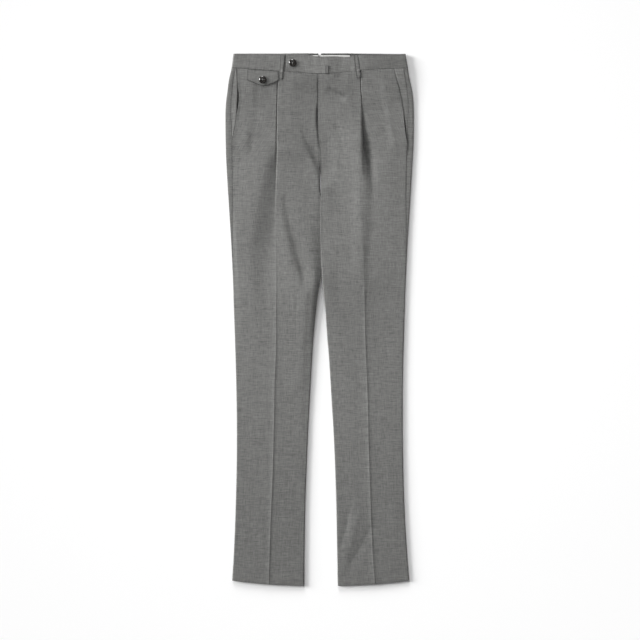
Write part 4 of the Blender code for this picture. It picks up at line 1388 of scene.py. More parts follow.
@dataclass(frozen=True)
class Finishes:
    """Materials of every piece."""
    wool: Material
    lining: Material
    horn: Material
    thread: Material
    pale_thread: Material
    floor: Material

    @classmethod
    def make(cls) -> "Finishes":
        """Builds the node groups and every material once.

        Returns:
            The materials.
        """
        weave = weave_group()
        wear = wear_group()
        wool = ClothFinish(
            "grey_wool", 0.86, dark=(0.1044, 0.1044, 0.1008, 1), light=(0.2254, 0.2254, 0.2177, 1))
        # the lining's colours are darkened as painted shade, for the shade it lies in below the back
        # band's top
        lining = ClothFinish(
            "band_lining_cotton", 0.8, dark=(0.46, 0.46, 0.45, 1), light=(0.66, 0.66, 0.64, 1),
            pitch=0.0003, yarn=0.1, slub=0.1, fine=0.1, edge_shade=0.1, sheen=0.1)
        thread = ThreadFinish("grey_thread", 0.7, (0.07, 0.07, 0.068, 1), (0.16, 0.16, 0.155, 1))
        pale_thread = ThreadFinish(
            "pale_thread", 0.7, (0.10, 0.10, 0.096, 1), (0.17, 0.17, 0.163, 1))
        return cls(
            wool=wool.material(weave, wear), lining=lining.material(weave, wear),
            horn=HornFinish("dark_horn", 0.07).material(wear), thread=thread.material(),
            pale_thread=pale_thread.material(),
            floor=FloorFinish("pale_card", 0.95, (0.97, 0.97, 0.97, 1)).material())


# Distance of the columns round a turned or open edge, from its outermost line
EDGE_ARCS = np.array((FORM.seam / 2, 0.7, 1.4, 2.1, 2.8, 3.8, 5.2, 7.2))


def panel_levels() -> Array:
    """Spreads a panel's rows, closer together where the form changes fast.

    Returns:
        The rows' distances below the waist, in a column.
    """
    return np.unique(np.concatenate((
        np.linspace(FORM.waist_row, 193, 62), np.linspace(193, 560, 122),
        np.linspace(560, 1107, 142), np.linspace(1107, FORM.length, 9))))[:, None]


def hem_thickness(below: Array) -> Array:
    """The cloth is turned up inside the hem, so the wall is thicker there."""
    return FORM.cloth + FORM.hem_wall * ramp(below, *FORM.hem_turn)


def hem_shade(below: Array) -> Array:
    """The cloth is made a little darker towards the hems: painted shade, for the light that falls off
    there.
    """
    return FORM.hem_shade * ramp(below, *FORM.painted_hem_shade_rows)


@dataclass
class FrontPanel(HalfPiece):
    """A front, from its centre edge over the pleat to the slant pocket and the side seam."""
    stem = "front"
    upper_columns: int = 24
    lower_columns: int = 30
    turn_columns: int = 10
    fold_columns: int = 6
    fly_start: Span = (0.6, 1.6)        # past the edge's columns, and at least so far from the middle
    fly_columns: tuple[float, ...] = (
        0, 0.6, 1.2, 1.7, 2.2, 2.7, 3.2, 3.8, 4.4, 5.0, 5.7, 6.5, 7.5, 9, 11, 14)
    crest_columns: tuple[float, ...] = (9, 6.8, 5, 3.6, 2.4, 1.4, 0.6)
    foot_start: Span = (0.6, 2.4)       # past the folded cloth, and at least so far before the crease
    foot_columns: tuple[float, ...] = (
        0, 0.8, 1.5, 2.1, 2.6, 3.1, 3.6, 4.1, 4.6, 5.2, 6, 7, 8.4, 10.2, 12.5, 15.5, 19)
    pocket_edge: float = 0.4            # more thickness at the pocket's turned edge
    pocket_turned: Span = (24.0, 18.0)  # in from the edge, over which it begins
    pocket_fade: Span = (2.0, 20.0)     # up from the pocket's end
    pocket_gap: float = 0.15
    press_width: float = 1.6
    press_rows: Span = (60.0, 140.0)

    @property
    def rests_on(self) -> tuple[str, ...]:
        """The back's cloth."""
        return (f"back_{self.half.label}_cloth",)

    def _fold(self, below: Array) -> tuple[Array, Array]:
        """Goes through the pleat's folded cloth, as chords of a turn, a run and a turn back.

        A chord of a turn is s sinc(a / 2) long, where a is the angle and s the arc between two
        columns, and each step moves by chord · cos(heading) and falls by chord · sin(heading).

        Args:
            below: Distance of each row below the waist.

        Returns:
            The columns' reach, and their fall from the fold line.
        """
        count = self.turn_columns
        pleat = PLEAT[self.half]
        angle = np.radians(pleat.at("angle", below))
        share = (np.arange(count) + 0.5) / count
        chord = pleat.at("turn", below) / count * np.sinc(angle / count / 2 / math.pi)
        flat = pleat.at("depth", below) / self.fold_columns
        headings = np.hstack((
            angle * share, np.repeat(angle, self.fold_columns, 1), angle * share[::-1]))
        chords = np.hstack((
            np.repeat(chord, count, 1), np.repeat(flat, self.fold_columns, 1),
            np.repeat(chord, count, 1)))
        start = CREASE.at(self.half.label, below) - pleat.at("lead", below)
        reach = start + np.cumsum(chords * np.cos(headings), axis=1)
        fall = -np.cumsum(chords * np.sin(headings), axis=1)
        return np.hstack((start, reach)), np.hstack((0 * start, fall))

    def sheet(self) -> Sheet:
        """Middle surface of the front: columns are joined from the edge, both layers and the fold.

        Returns:
            The sheet.
        """
        half = self.half
        below = panel_levels()
        rows = Rows(half, below)
        inner, inner_height = rows.inner_columns(rows.inner(), EDGE_ARCS)
        fold, fold_fall = self._fold(below)
        arc = SIDE_SEAM.at("wrap", below) + EDGE_ARCS[::-1]
        inward, outer_height = edge_turn(arc)
        seam = rows.outer() - inward
        at_slant = rows.at_slant()
        free = SLANT.at(half.label, at_slant) - GAPE.at(half.label, below)
        free = free - EDGE_ARCS[::-1] + self.pocket_gap
        at_pocket = below < FORM.pocket_end
        outer = np.where(at_pocket, free, seam)
        outer_height = np.where(at_pocket, FORM.edge_radius, outer_height)
        past, least = self.fly_start
        fly = np.maximum(inner[:, -1:] + past, least) + np.array(self.fly_columns)
        crest = fold[:, :1] - np.array(self.crest_columns)
        upper = np.hstack((fly, runs(fly[:, -1:], crest[:, :1], self.upper_columns), crest))
        past, before = self.foot_start
        foot = np.maximum(fold[:, -1:] + past, CREASE.at(half.label, below) - before)
        foot = np.hstack((runs(fold[:, -1:], foot, 2), foot + np.array(self.foot_columns)))
        lower = np.hstack((foot, runs(foot[:, -1:], outer[:, :1], self.lower_columns)))
        reach = np.hstack((inner, upper, fold, lower, outer))
        rise = rows.pleat_rise()
        fall = np.hstack((
            inner_height - FORM.edge_radius, 0 * upper, fold_fall, 0 * lower - rise,
            outer_height - FORM.edge_radius - rise))
        share = rows.pleat_share(reach)
        share[:, inner.shape[1] + upper.shape[1]:] = 1
        level = rows.front_level(reach) + rise * share + fall
        thickness = hem_thickness(below) + 0 * reach
        turned = at_pocket * ramp(reach, *(outer[:, -1:] - inset for inset in self.pocket_turned))
        thickness = thickness + self.pocket_edge * turned * ramp(
            FORM.pocket_end - below, *self.pocket_fade)
        press = np.exp(-(rows.past_crease(reach) / self.press_width) ** 2)
        press = press * ramp(below, *self.press_rows)
        # painted shade in the creases and hollows, painted light over the left thigh, and painted shade
        # towards the hems
        tint = sum(fold.lift(half.side * reach, below) for fold in PAINTED_SHADES[half])
        return Sheet(
            place(half, reach, below + rows.shift(reach), level - (thickness - FORM.cloth) / 2),
            origin=(310.0 + 700 * half.side, 40.0 + 33 * half.side),
            centre=inner.shape[1] + upper.shape[1], thickness=thickness, press=press,
            tint=tint + hem_shade(below))


@dataclass
class BackPanel(HalfPiece):
    """A back, which lies on the floor from the inner leg and turns up round the side."""
    stem = "back"
    under_columns: int = 34
    turn_columns: int = 9
    centre_column: int = 24
    wrap_shares: tuple[float, ...] = (0.12, 0.3, 0.5, 0.72, 0.9, 1)
    seam_reach: float = 100.0           # the side seam is further out than this
    turned_height: float = -0.5         # the turned edge begins this far over its middle line
    turned_reach: Span = (-3.2, -0.3)   # from the outermost line, over which the edge's painted light and shade begins
    # painted light on the left half's outer edge, painted shade on the right half's
    turned_tint: float = 0.5

    def sheet(self) -> Sheet:
        """Middle surface of the back.

        Its outer edge gets painted light on the left half, whose rim turns away from the key lamp, and
        painted shade on the right one, whose rim faces it, by a set amount times a ramp over the turned
        reach.

        Returns:
            The sheet.
        """
        half = self.half
        below = panel_levels()
        rows = Rows(half, below)
        inner, inner_height = rows.inner_columns(rows.back_inner(), -EDGE_ARCS)
        quarter = FORM.edge_radius * math.pi / 2
        turn = np.linspace(0, 1, self.turn_columns)
        over = (SIDE_SEAM.at("wrap", below) - FORM.seam / 2) * np.array(self.wrap_shares)
        arc = np.hstack((-quarter * (1 - turn) + 0 * below, over))
        inward, outer_height = edge_turn(arc)
        outer = rows.outer() - inward
        under = runs(inner[:, -1:], outer[:, :1], self.under_columns)
        reach = np.hstack((inner, under, outer))
        height = np.hstack((inner_height, 0 * under - FORM.edge_radius, outer_height))
        thickness = hem_thickness(below) + 0 * reach
        side = np.sign(height + 1e-6)
        level = rows.back_level(reach) + height + FORM.edge_radius
        level = level - side * (thickness - FORM.cloth) / 2
        at_seam = rows.at_waist().back_flat(reach) + 2 * FORM.edge_radius
        above = np.clip(height / FORM.edge_radius, 0, 1) * (reach > self.seam_reach)
        level = level + above * rows.up_to_band(reach, at_seam)
        turned = ramp(reach - rows.outer(), *self.turned_reach) * (height > self.turned_height)
        return Sheet(
            place(half, reach, below + rows.back_shift(reach), level),
            origin=(900.0 + 500 * half.side, 77.0), centre=self.centre_column, thickness=thickness,
            tint=hem_shade(below) - self.turned_tint * half.side * turned)


@dataclass
class PocketFacing(HalfPiece):
    """The cloth behind a slant pocket's opening, which drops into the pocket at the gape."""
    stem = "pocket_facing"
    slot = "wool_inside"
    drop: float = 2.1
    flush: float = 0.7
    flush_gaped: float = 0.4   # share of it that is missing where the pocket gapes
    squeeze: float = 9.0       # the columns draw together where the side seam is nearer than this
    least_squeeze: float = 0.02
    row_count: int = 84
    side_columns: int = 5
    behind: Span = (-0.5, 0.7)      # past the opening, over which the facing comes out from behind
    deep: Span = (-22.0, -9.0)
    outside: Span = (0.2, 1.2)
    shaded: Span = (-0.4, 0.5)
    gaped: Span = (0.2, 1.2)        # the gape over which painted shade darkens the cloth behind it
    # painted shade inside the gaping pocket
    shade: float = 1.4
    # painted light outside the opening on the left half
    pale: float = 0.35
    columns: tuple[float, ...] = (
        -25, -19, -14, -10, -7, -5, -3.6, -2.6, -1.9, -1.3, -0.8, -0.4, 0, 0.3, 0.6, 0.9, 1.2, 1.6,
        2.2, 3.2, 5, 7.5)   # from the opening

    def sheet(self) -> Sheet:
        """Middle surface of the facing: it drops by drop · gape, as a ramp just behind the gape.

        Outside the opening it stands as high as the front's edge, where that doesn't gape. Inside it is
        darkened as painted shade, by shade times a ramp of the gape, and outside, on the left half, made
        paler by pale as painted light.

        Returns:
            The sheet.
        """
        half = self.half
        below = np.linspace(FORM.waist_row, FORM.pocket_end - 1, self.row_count)[:, None]
        rows = Rows(half, below)
        arc = SIDE_SEAM.at("wrap", below) + FORM.gap / 2
        seam = rows.outer() - edge_turn(arc)[0]
        shifted = rows.at_slant()
        opening = SLANT.at(half.label, shifted)
        gape = GAPE.at(half.label, shifted)
        squeeze = np.clip((seam - opening) / self.squeeze, self.least_squeeze, 1)
        offsets = np.array(self.columns) * np.where(np.array(self.columns) > 0, squeeze, 1)
        reach = opening + offsets
        reach = np.hstack((reach, runs(reach[:, -1:], seam, self.side_columns), seam))
        past = reach - opening
        inside = 1 - ramp(past, *self.behind)
        deep = inside * ramp(past, *self.deep) * np.clip(gape, 0, 1)
        outside = ramp(past, *self.outside)
        level = rows.upper_level(reach) - self.drop * deep
        flush = outside * (1 - ramp(past, 2, np.maximum(seam - opening, 4)))
        level = level + self.flush * flush * (1 - self.flush_gaped * np.clip(gape / 2, 0, 1))
        at_seam = rows.at_waist().plain_level(reach)
        level = level + outside * rows.up_to_band(reach, at_seam)
        return Sheet(
            place(half, reach, below + rows.shift(reach), level),
            origin=(1500.0 + 90 * half.side, 12.0),
            tint=self.shade * ramp(gape, *self.gaped) * (1 - ramp(past, *self.shaded))
            - self.pale * outside * (half is Half.LEFT))


@dataclass
class FlyUnderlap(ClothPiece):
    """The strip behind the fly's opening."""
    node = "fly_underlap"
    slot = "wool_inside"
    across: Span = (-3.0, 36.0)
    below: Span = (44.8, 200.0)

    def sheet(self) -> Sheet:
        """Middle surface of the strip, fly_lift under the right front's.

        Returns:
            The sheet.
        """
        below = np.linspace(*self.below, 60)[:, None]
        across = np.linspace(*self.across, 16) + 0 * below
        rows = Rows(Half.RIGHT, below)
        folds = np.maximum(rows.folds(-across), -1.0)
        level = rows.plain_level(-across) + folds - FORM.fly_lift
        return Sheet(place(Half.LEFT, across, below, level), origin=(1800.0, 5.0))


@dataclass
class Waistband(HalfPiece):
    """Half of the waistband, from the centre back round the side to the front."""
    stem = "waistband"
    rim = Rim(steps=8, bulge=0.35, span=3.0)
    tab_end: float = -69.3
    tab_columns: tuple[float, ...] = (
        27, 21, 17, 14, 11.4, 9.4, 7.6, 6, 4.6, 3.4, 2.4, 1.6, 0.9, 0.4, 0.1, 0)
    right_end: float = 10.0
    under_columns: int = 44
    over_columns: int = 72
    turn_columns: int = 19
    notch_rows: int = 6
    other_rows: int = 13
    lower_corner: float = 14.0
    upper_corner: float = 3.0
    notch_width: float = 3.0
    notch_share: float = 0.27       # share of the band's height that the notch takes
    swell: float = 1.3              # the left half stands up beside its loop
    swell_place: float = 86.0
    swell_widths: Span = (14.0, 34.0)
    ripple_side: Span = (6.0, 30.0)     # in from the side, over which the ripple begins
    # painted shade on the left hip, where the band turns away from the light
    away: float = 0.22
    away_across: Span = (84.0, 150.0)
    # painted light on the band in front
    pale: float = 0.16
    pale_across: tuple[Span, Span] = ((-70.0, -10.0), (60.0, 84.0))
    # painted shade at the top of the back, beside the lining, over these shares of the height and this
    # reach
    lining_share: Span = (0.05, 0.12)
    lining_reach: Span = (110.0, 150.0)

    @staticmethod
    def _corner(distance: Array, radius: float) -> Array:
        """How far a rounded corner takes an edge in: r - √(r² - (r - d)²)."""
        missing = np.clip(radius - distance, 0, radius)
        return radius - np.sqrt(radius ** 2 - missing ** 2)

    def sheet(self) -> Sheet:
        """Middle surface of the band: the back, a half turn round the side, and the front.

        The swell is swell · e^(-(d / width)²). Its painted shade is away on the left hip and -pale,
        painted light, in front, each times ramps along the band, and 1 at the top of the back, beside the
        lining, where the back band lies in shadow.

        Returns:
            The sheet.
        """
        half = self.half
        share = np.concatenate((
            np.linspace(0, self.notch_share, self.notch_rows)[:-1],
            np.linspace(self.notch_share, 1, self.other_rows)))[:, None]
        radius = (FORM.band_front_level - FORM.band_back_level) / 2
        side_top, side_bottom = (
            BAND_BACK_EDGE.at(edge, FORM.half_waist) for edge in ("top", "bottom"))
        outer = OUTER.at(half.label, side_top + (side_bottom - side_top) * share) - FORM.band / 2
        notch = np.maximum(0, 1 - share / self.notch_share)
        centre = FORM.gap / 2 + self.notch_width * notch
        angle = np.linspace(-90, 90, self.turn_columns)
        turn = outer - radius * (1 - np.cos(np.radians(angle)))
        last = np.array((0, -self.right_end))
        if half is Half.LEFT:
            last = self.tab_end + np.array(self.tab_columns)
        last = last + 0 * share
        under = np.hstack((centre, runs(centre, turn[:, :1], self.under_columns)))
        over = np.hstack((runs(turn[:, -1:], last[:, :1], self.over_columns), last))
        reach = np.hstack((under, turn, over))
        blend = np.concatenate((0 * under[0], (angle + 90) / 180, 0 * over[0] + 1))
        ripple = BAND_RIPPLE.lift(half.side * over, 40 * share)
        ripple = ripple * ramp(FORM.half_waist - over, *self.ripple_side)
        if half is Half.LEFT:
            width = np.where(over < self.swell_place, *self.swell_widths)
            ripple = ripple + self.swell * np.exp(-((over - self.swell_place) / width) ** 2)
        level = np.hstack((
            0 * under + FORM.band_back_level,
            0 * turn + FORM.band_back_level + radius * (1 + np.sin(np.radians(angle))),
            band_level(half, over) + ripple))
        across = half.side * reach
        top, bottom = (BAND_EDGE.at(edge, across) for edge in ("top", "bottom"))
        if half is Half.LEFT:
            top = top + self._corner(reach - self.tab_end, self.upper_corner)
            bottom = bottom - self._corner(reach - self.tab_end, self.lower_corner)
        top, bottom = (
            blend * front + (1 - blend) * BAND_BACK_EDGE.at(edge, np.abs(reach))
            for edge, front in (("top", top), ("bottom", bottom)))
        hip = self.away * ramp(across, *self.away_across)
        rise, fall = (ramp(across, *span) for span in self.pale_across)
        middle = self.pale * rise * (1 - fall)
        beside = 1 - ramp(share, *self.lining_share)
        beside = (1 - blend) * beside * (1 - ramp(reach, *self.lining_reach))
        return Sheet(
            place(half, reach, top + (bottom - top) * share, level),
            origin=(2300.0 + 400 * half.side, 400.0), centre=under.shape[1],
            thickness=FORM.band, tint=beside + blend * (hip - middle))


@dataclass
class BandLining(HalfPiece):
    """Pale lining on the inner face of the back band."""
    stem = "band_lining"
    slot = "lining"
    reach: Span = (2.4, 64.0)
    below: Span = (4.0, 34.0)
    wall: float = 1.0
    ripple: float = 0.25

    def sheet(self) -> Sheet:
        """Middle surface of the lining, a gap over the back band's.

        Returns:
            The sheet.
        """
        share = np.linspace(0, 1, 16)[:, None]
        reach = np.linspace(*self.reach, 44) + 0 * share
        top = BAND_BACK_EDGE.at("top", reach) + self.below[0]
        level = FORM.band_back_level + (FORM.band + self.wall) / 2 + FORM.gap
        level = level + self.ripple * np.maximum(BAND_RIPPLE.lift(reach, 30 * share), 0)
        return Sheet(
            place(self.half, reach, top + (self.below[1] - top) * share, level),
            origin=(3000.0 + 200 * self.half.side, 0.0), thickness=self.wall)


LOOP_RIM = Rim(steps=7, bulge=0.8, span=2.5)


@dataclass
class BeltLoop(ClothPiece):
    """A loop or prong loop on the front, which steps down from the band to the panel."""
    own_cut = False
    rim = LOOP_RIM
    node: str
    top: tuple[float, float, float]      # across, below and width at the upper end
    bottom: tuple[float, float, float]
    wall: float = 1.0
    arch: float = 0.25
    crown: float = 0.3
    off: float = 0.1            # over the band
    shade: float = 0.8          # painted shade: darker cloth beside its edges, where shadows fall
    shade_widths: Span = (1.5, 1.2)
    thread_lift: float = 0.12

    def surface(self, across: Array, below: Array) -> Array:
        """Level of what the loop lies on, which steps from the band's face down to the panel's.

        Args:
            across: Places along +X.
            below: Distances below the waist.

        Returns:
            The level at each place.
        """
        half = Half.LEFT if self.top[0] > 0 else Half.RIGHT
        reach = half.side * across
        seam = BAND_EDGE.at("bottom", across)
        panel = Rows(half, np.maximum(below, FORM.waist_row)).front_top(reach)
        band = band_level(half, reach) + FORM.band / 2
        step = ramp(below, seam + 1, seam + 9)
        return np.maximum(band + (panel - band) * step, np.where(below > seam - 1, panel, 0))

    def level(self, across: Array, below: Array) -> Array:
        """Middle surface of the loop, which arches off what it lies on by arch · sin²(π · run).

        Args:
            across: Places along +X.
            below: Distances below the waist.

        Returns:
            The level at each place.
        """
        run = (below - self.top[1]) / (self.bottom[1] - self.top[1])
        arch = self.arch * np.sin(math.pi * np.clip(run, 0, 1)) ** 2
        return self.surface(across, below) + self.off + self.wall / 2 + arch

    def thread_level(self, across: Array, below: Array) -> Array:
        """Where stitches lie on the loop."""
        return self.level(across, below) + self.wall / 2 + self.thread_lift

    def sheet(self) -> Sheet:
        """Middle surface of the loop, crowned by 1 - 4s² with s from -0.5 to 0.5 across it.

        Its painted shade is shade · e^(-(d / width)²) with d the distance from each edge.

        Returns:
            The sheet.
        """
        run = np.linspace(0, 1, 44)[:, None]
        side = np.linspace(-0.5, 0.5, 13)
        middle, below, width = (a + (b - a) * run for a, b in zip(self.top, self.bottom))
        across = middle + width * side
        below = below + 0 * across
        level = self.level(across, below) + self.crown * (1 - 4 * side ** 2)
        edges = zip(((side + 0.5) * width, (0.5 - side) * width), self.shade_widths)
        return Sheet(
            place(Half.LEFT, across, below, level), origin=(3300.0 + 7 * self.top[0], 0.0),
            thickness=self.wall,
            tint=self.shade * sum(np.exp(-(away / wide) ** 2) for away, wide in edges))


@dataclass
class BackLoop(HalfPiece):
    """A belt loop on the back, flat under the band."""
    stem = "belt_loop_back"
    own_cut = False
    rim = LOOP_RIM
    reach: float = 62.0
    below: Span = (2.5, 54.0)
    width: float = 10.0
    wall: float = 1.6

    def sheet(self) -> Sheet:
        """Middle surface of the loop, half its wall over the floor.

        Returns:
            The sheet.
        """
        below = np.linspace(*self.below, 30)[:, None]
        across = self.reach + self.width * np.linspace(-0.5, 0.5, 11) + 0 * below
        return Sheet(
            place(self.half, across, below, self.wall / 2 + 0 * across),
            origin=(3600.0 + 30 * self.half.side, 0.0), thickness=self.wall)


@dataclass
class CoinFlap(ClothPiece):
    """The coin pocket's pointed flap on the right front."""
    node = "coin_flap"
    rim = Rim(steps=6, bulge=0.8, span=3.0)
    rests_on = ("front_right_cloth",)
    top: Span = (-151.2, -86.6)
    bottom: Span = (-153.0, -85.4)
    wall: float = 1.0
    off: float = 0.15           # over the front
    shade: float = 0.75         # painted shade: darker cloth beside its edges, where shadows fall
    shade_width: float = 1.3
    thread_lift: float = 0.1

    def level(self, across: Array, below: Array) -> Array:
        """Top face of the flap, which bridges the crevice at the pleat."""
        reach = np.maximum(-across, CREASE.at("right", below) + 4)
        return Rows(Half.RIGHT, below).front_top(reach) + self.off + self.wall

    def thread_level(self, across: Array, below: Array) -> Array:
        """Where stitches lie on the flap."""
        return self.level(across, below) + self.thread_lift

    def sheet(self) -> Sheet:
        """Middle surface of the flap.

        Its painted shade is shade · e^(-(d / width)²) with d the distance from the nearest edge.

        Returns:
            The sheet.
        """
        down = np.linspace(0, 1, 26)[:, None]
        left, right = (a + (b - a) * down for a, b in zip(self.top, self.bottom))
        across = left + (right - left) * np.linspace(0, 1, 60)
        top = BAND_EDGE.at("bottom", across) + FORM.gap
        point = FLAP.at("bottom", across)
        below = top + (point - top) * down
        from_edge = np.minimum.reduce((point - below, across - left, below - top, right - across))
        return Sheet(
            place(Half.LEFT, across, below, self.level(across, below) - self.wall / 2),
            origin=(4000.0, 0.0), thickness=self.wall,
            tint=self.shade * np.exp(-(from_edge / self.shade_width) ** 2))


@dataclass
class HornButton:
    """A four-hole button with a raised rim and a dished face, sewn on with a crossed thread."""
    node: str
    across: float
    below: float
    level: float                    # underside of the button
    turn: float = 20.0              # degrees
    sides: int = 96
    face_step: float = 12.7         # step of the profile where the dished face begins
    rim_step: float = 10.6
    rim_width: float = 0.7
    hole_place: float = 1.55        # from the centre, along X and along Y
    hole_wall: Span = (0.55, 0.95)  # from a hole's middle, over which it rises to the face
    hole_depth: float = 1.5
    strand_reach: float = 1.08      # of hole_place
    strand_aside: float = 0.28
    strand_level: float = 2.2
    strand_radius: float = 0.32

    def _placed(self, x: Array, y: Array, z: Array | float) -> Array:
        """Turns points round the button's middle, and moves them to its place.

        Args:
            x: Places along its own first axis.
            y: Places along its own second axis.
            z: Heights over its underside.

        Returns:
            (x cos t - y sin t, x sin t + y cos t, z), moved.
        """
        turn = math.radians(self.turn)
        across = x * math.cos(turn) - y * math.sin(turn) + self.across
        up = x * math.sin(turn) + y * math.cos(turn) + FORM.length / 2 - self.below
        return np.stack((across, up, z + self.level + 0 * x), axis=-1)

    def build(self, horn: Material) -> Piece:
        """Turns the profile: (r cos a, r sin a, h), with the holes sunk in the face.

        Args:
            horn: The button's finish.

        Returns:
            The object.
        """
        steps = np.concatenate((
            np.linspace(1.0, 6.4, 4), np.linspace(6.6, self.face_step, 34),
            np.linspace(12.9, 17.6, 30)))[:, None]
        radius, height = (BUTTON.at(column, steps) for column in ("radius", "height"))
        angle = np.arange(self.sides) * math.tau / self.sides
        x, y = radius * np.cos(angle), radius * np.sin(angle)
        from_hole = np.hypot(np.abs(x) - self.hole_place, np.abs(y) - self.hole_place)
        hole = (steps > self.face_step) * (1 - ramp(from_hole, *self.hole_wall))
        rim = np.exp(-((steps - self.rim_step) / self.rim_width) ** 2) + 0 * angle
        rings = self._placed(x, y, height - self.hole_depth * hole).reshape(-1, 3)
        poles = self._placed(np.zeros(2), np.zeros(2), np.array((0, BUTTON.columns["height"][-1])))
        index = np.arange(len(rings)).reshape(len(steps), self.sides)
        after = np.roll(index, -1, axis=1)
        low = 0 * index[0] + len(rings)
        faces = ring_faces(index).tolist()
        faces += np.stack((after[0], index[0], low), axis=-1).tolist()
        faces += np.stack((index[-1], after[-1], low + 1), axis=-1).tolist()
        marks = {key: np.append(mark, (0, 0)) for key, mark in (("edge", rim), ("hole", hole))}
        piece = mesh_object(
            self.node + "_horn", np.concatenate((rings, poles)), faces, horn, marks=marks)
        LOG.info("%s: %d faces", self.node, len(faces))
        return attach(piece, "horn", self.node)

    def strands(self) -> list[Array]:
        """Both ends of the thread's strands, two along each diagonal of the holes.

        Returns:
            The starts and the ends, 4 × 3 each.
        """
        way = np.array(((1, 1), (1, 1), (1, -1), (1, -1))) * self.hole_place
        offset = np.array((-1, 1, -1, 1))[:, None] * self.strand_aside
        aside = np.stack((-way[:, 1], way[:, 0]), -1) / np.hypot(*way[0]) * offset
        return [
            self._placed(*(sign * self.strand_reach * way + aside).T, self.strand_level)
            for sign in (-1, 1)]


@dataclass
class Stitches:
    """Many short stitches along lines, joined in one mesh."""
    radius: float = 0.2
    sides: int = 6
    places: tuple[float, ...] = (-0.5, -0.38, 0.0, 0.38, 0.5)       # of a stitch's rings, along it
    thickness: tuple[float, ...] = (0.35, 0.85, 1.0, 0.85, 0.35)    # of the rings, as shares
    arch: float = 0.9               # a stitch's rise in its middle, in radii
    sunk: float = 0.35
    pieces: list[tuple[Array, Array, float]] = field(default_factory=list)

    def line(
            self, places: Array, surface: Surface, pitch: float = 2.6, length: float = 1.9,
            turned: bool = False) -> None:
        """Adds a row of stitches along a line on a surface.

        The line is walked in steps of pitch, and a stitch lies along the line or, if turned, across
        it. Both its ends are on the surface.

        Args:
            places: Across and below of the line's points.
            surface: Level of the surface.
            pitch: Distance between two stitches.
            length: Length of a stitch.
            turned: The stitches lie across the line.
        """
        run = np.append(0, np.cumsum(np.hypot(*np.diff(places, axis=0).T)))
        count = max(int(run[-1] / pitch), 1)
        at = (np.arange(count) + 0.5) * run[-1] / count
        middle, behind, ahead = (
            np.stack([np.interp(at + shift, run, column) for column in places.T], -1)
            for shift in (0, -0.2, 0.2))
        way = unit(ahead - behind)
        if turned:
            way = np.stack((-way[:, 1], way[:, 0]), -1)
        ends = []
        for sign in (-1, 1):
            across, below = (middle + sign * length / 2 * way).T
            ends.append(np.stack((across, FORM.length / 2 - below, surface(across, below)), -1))
        self.pieces.append((*ends, self.radius))

    def strand(self, start: Array, end: Array, radius: float) -> None:
        """Adds straight strands between pairs of points, n × 3 each."""
        self.pieces.append((start, end, radius))

    def _tubes(self, start: Array, end: Array, radius: float) -> tuple[Array, Array]:
        """Points of one row's stitches: a ring of r (a cos θ + u sin θ) at each place along a stitch.

        Here a and u point aside and up, and the stitch is raised by arch · r (1 - 4s²) - sunk · r.

        Args:
            start: The stitches' starts.
            end: Their ends.
            radius: Thickness of the thread.

        Returns:
            The points, and their places round and along the thread.
        """
        share = np.array(self.places)
        angle = np.arange(self.sides) * math.tau / self.sides
        way = end - start
        along = unit(way)
        aside = unit(np.cross(np.array((0, 0, 1.0)), along))
        up = np.cross(along, aside)
        ring = (np.cos(angle)[:, None] * aside[:, None, None, :]
                + np.sin(angle)[:, None] * up[:, None, None, :])
        lift = (1 - 4 * share ** 2) * radius * self.arch - radius * self.sunk
        centre = ((start + end)[:, None, :] / 2 + way[:, None, :] * share[:, None]
                  + up[:, None, :] * lift[:, None])
        thick = (radius * np.array(self.thickness))[:, None, None]
        points = centre[:, :, None, :] + ring * thick
        length = np.linalg.norm(way, axis=-1)[:, None, None]
        u = np.broadcast_to(angle * radius, points.shape[:3])
        v = np.broadcast_to((share + 0.5)[None, :, None] * length, points.shape[:3])
        return points.reshape(-1, 3), np.stack((u, v), -1).reshape(-1, 2)

    def build(self, name: str, material: Material) -> Piece:
        """Makes every stitch as a closed tube, thin at its sunken ends.

        Args:
            name: Name of the piece.
            material: The thread's finish.

        Returns:
            The object.
        """
        points, uv = (np.concatenate(part) for part in zip(*(self._tubes(*row) for row in self.pieces)))
        size = len(self.places) * self.sides
        count = len(points) // size
        index = np.arange(size).reshape(-1, self.sides)
        caps = np.stack((index[0, ::-1], index[-1]))
        first = np.arange(count)[:, None, None] * size
        faces = (ring_faces(index) + first).reshape(-1, 4).tolist()
        faces += (caps + first).reshape(-1, self.sides).tolist()
        LOG.info("%s: %d stitches", name, count)
        return attach(mesh_object(name, points, faces, material, uv), "wool")


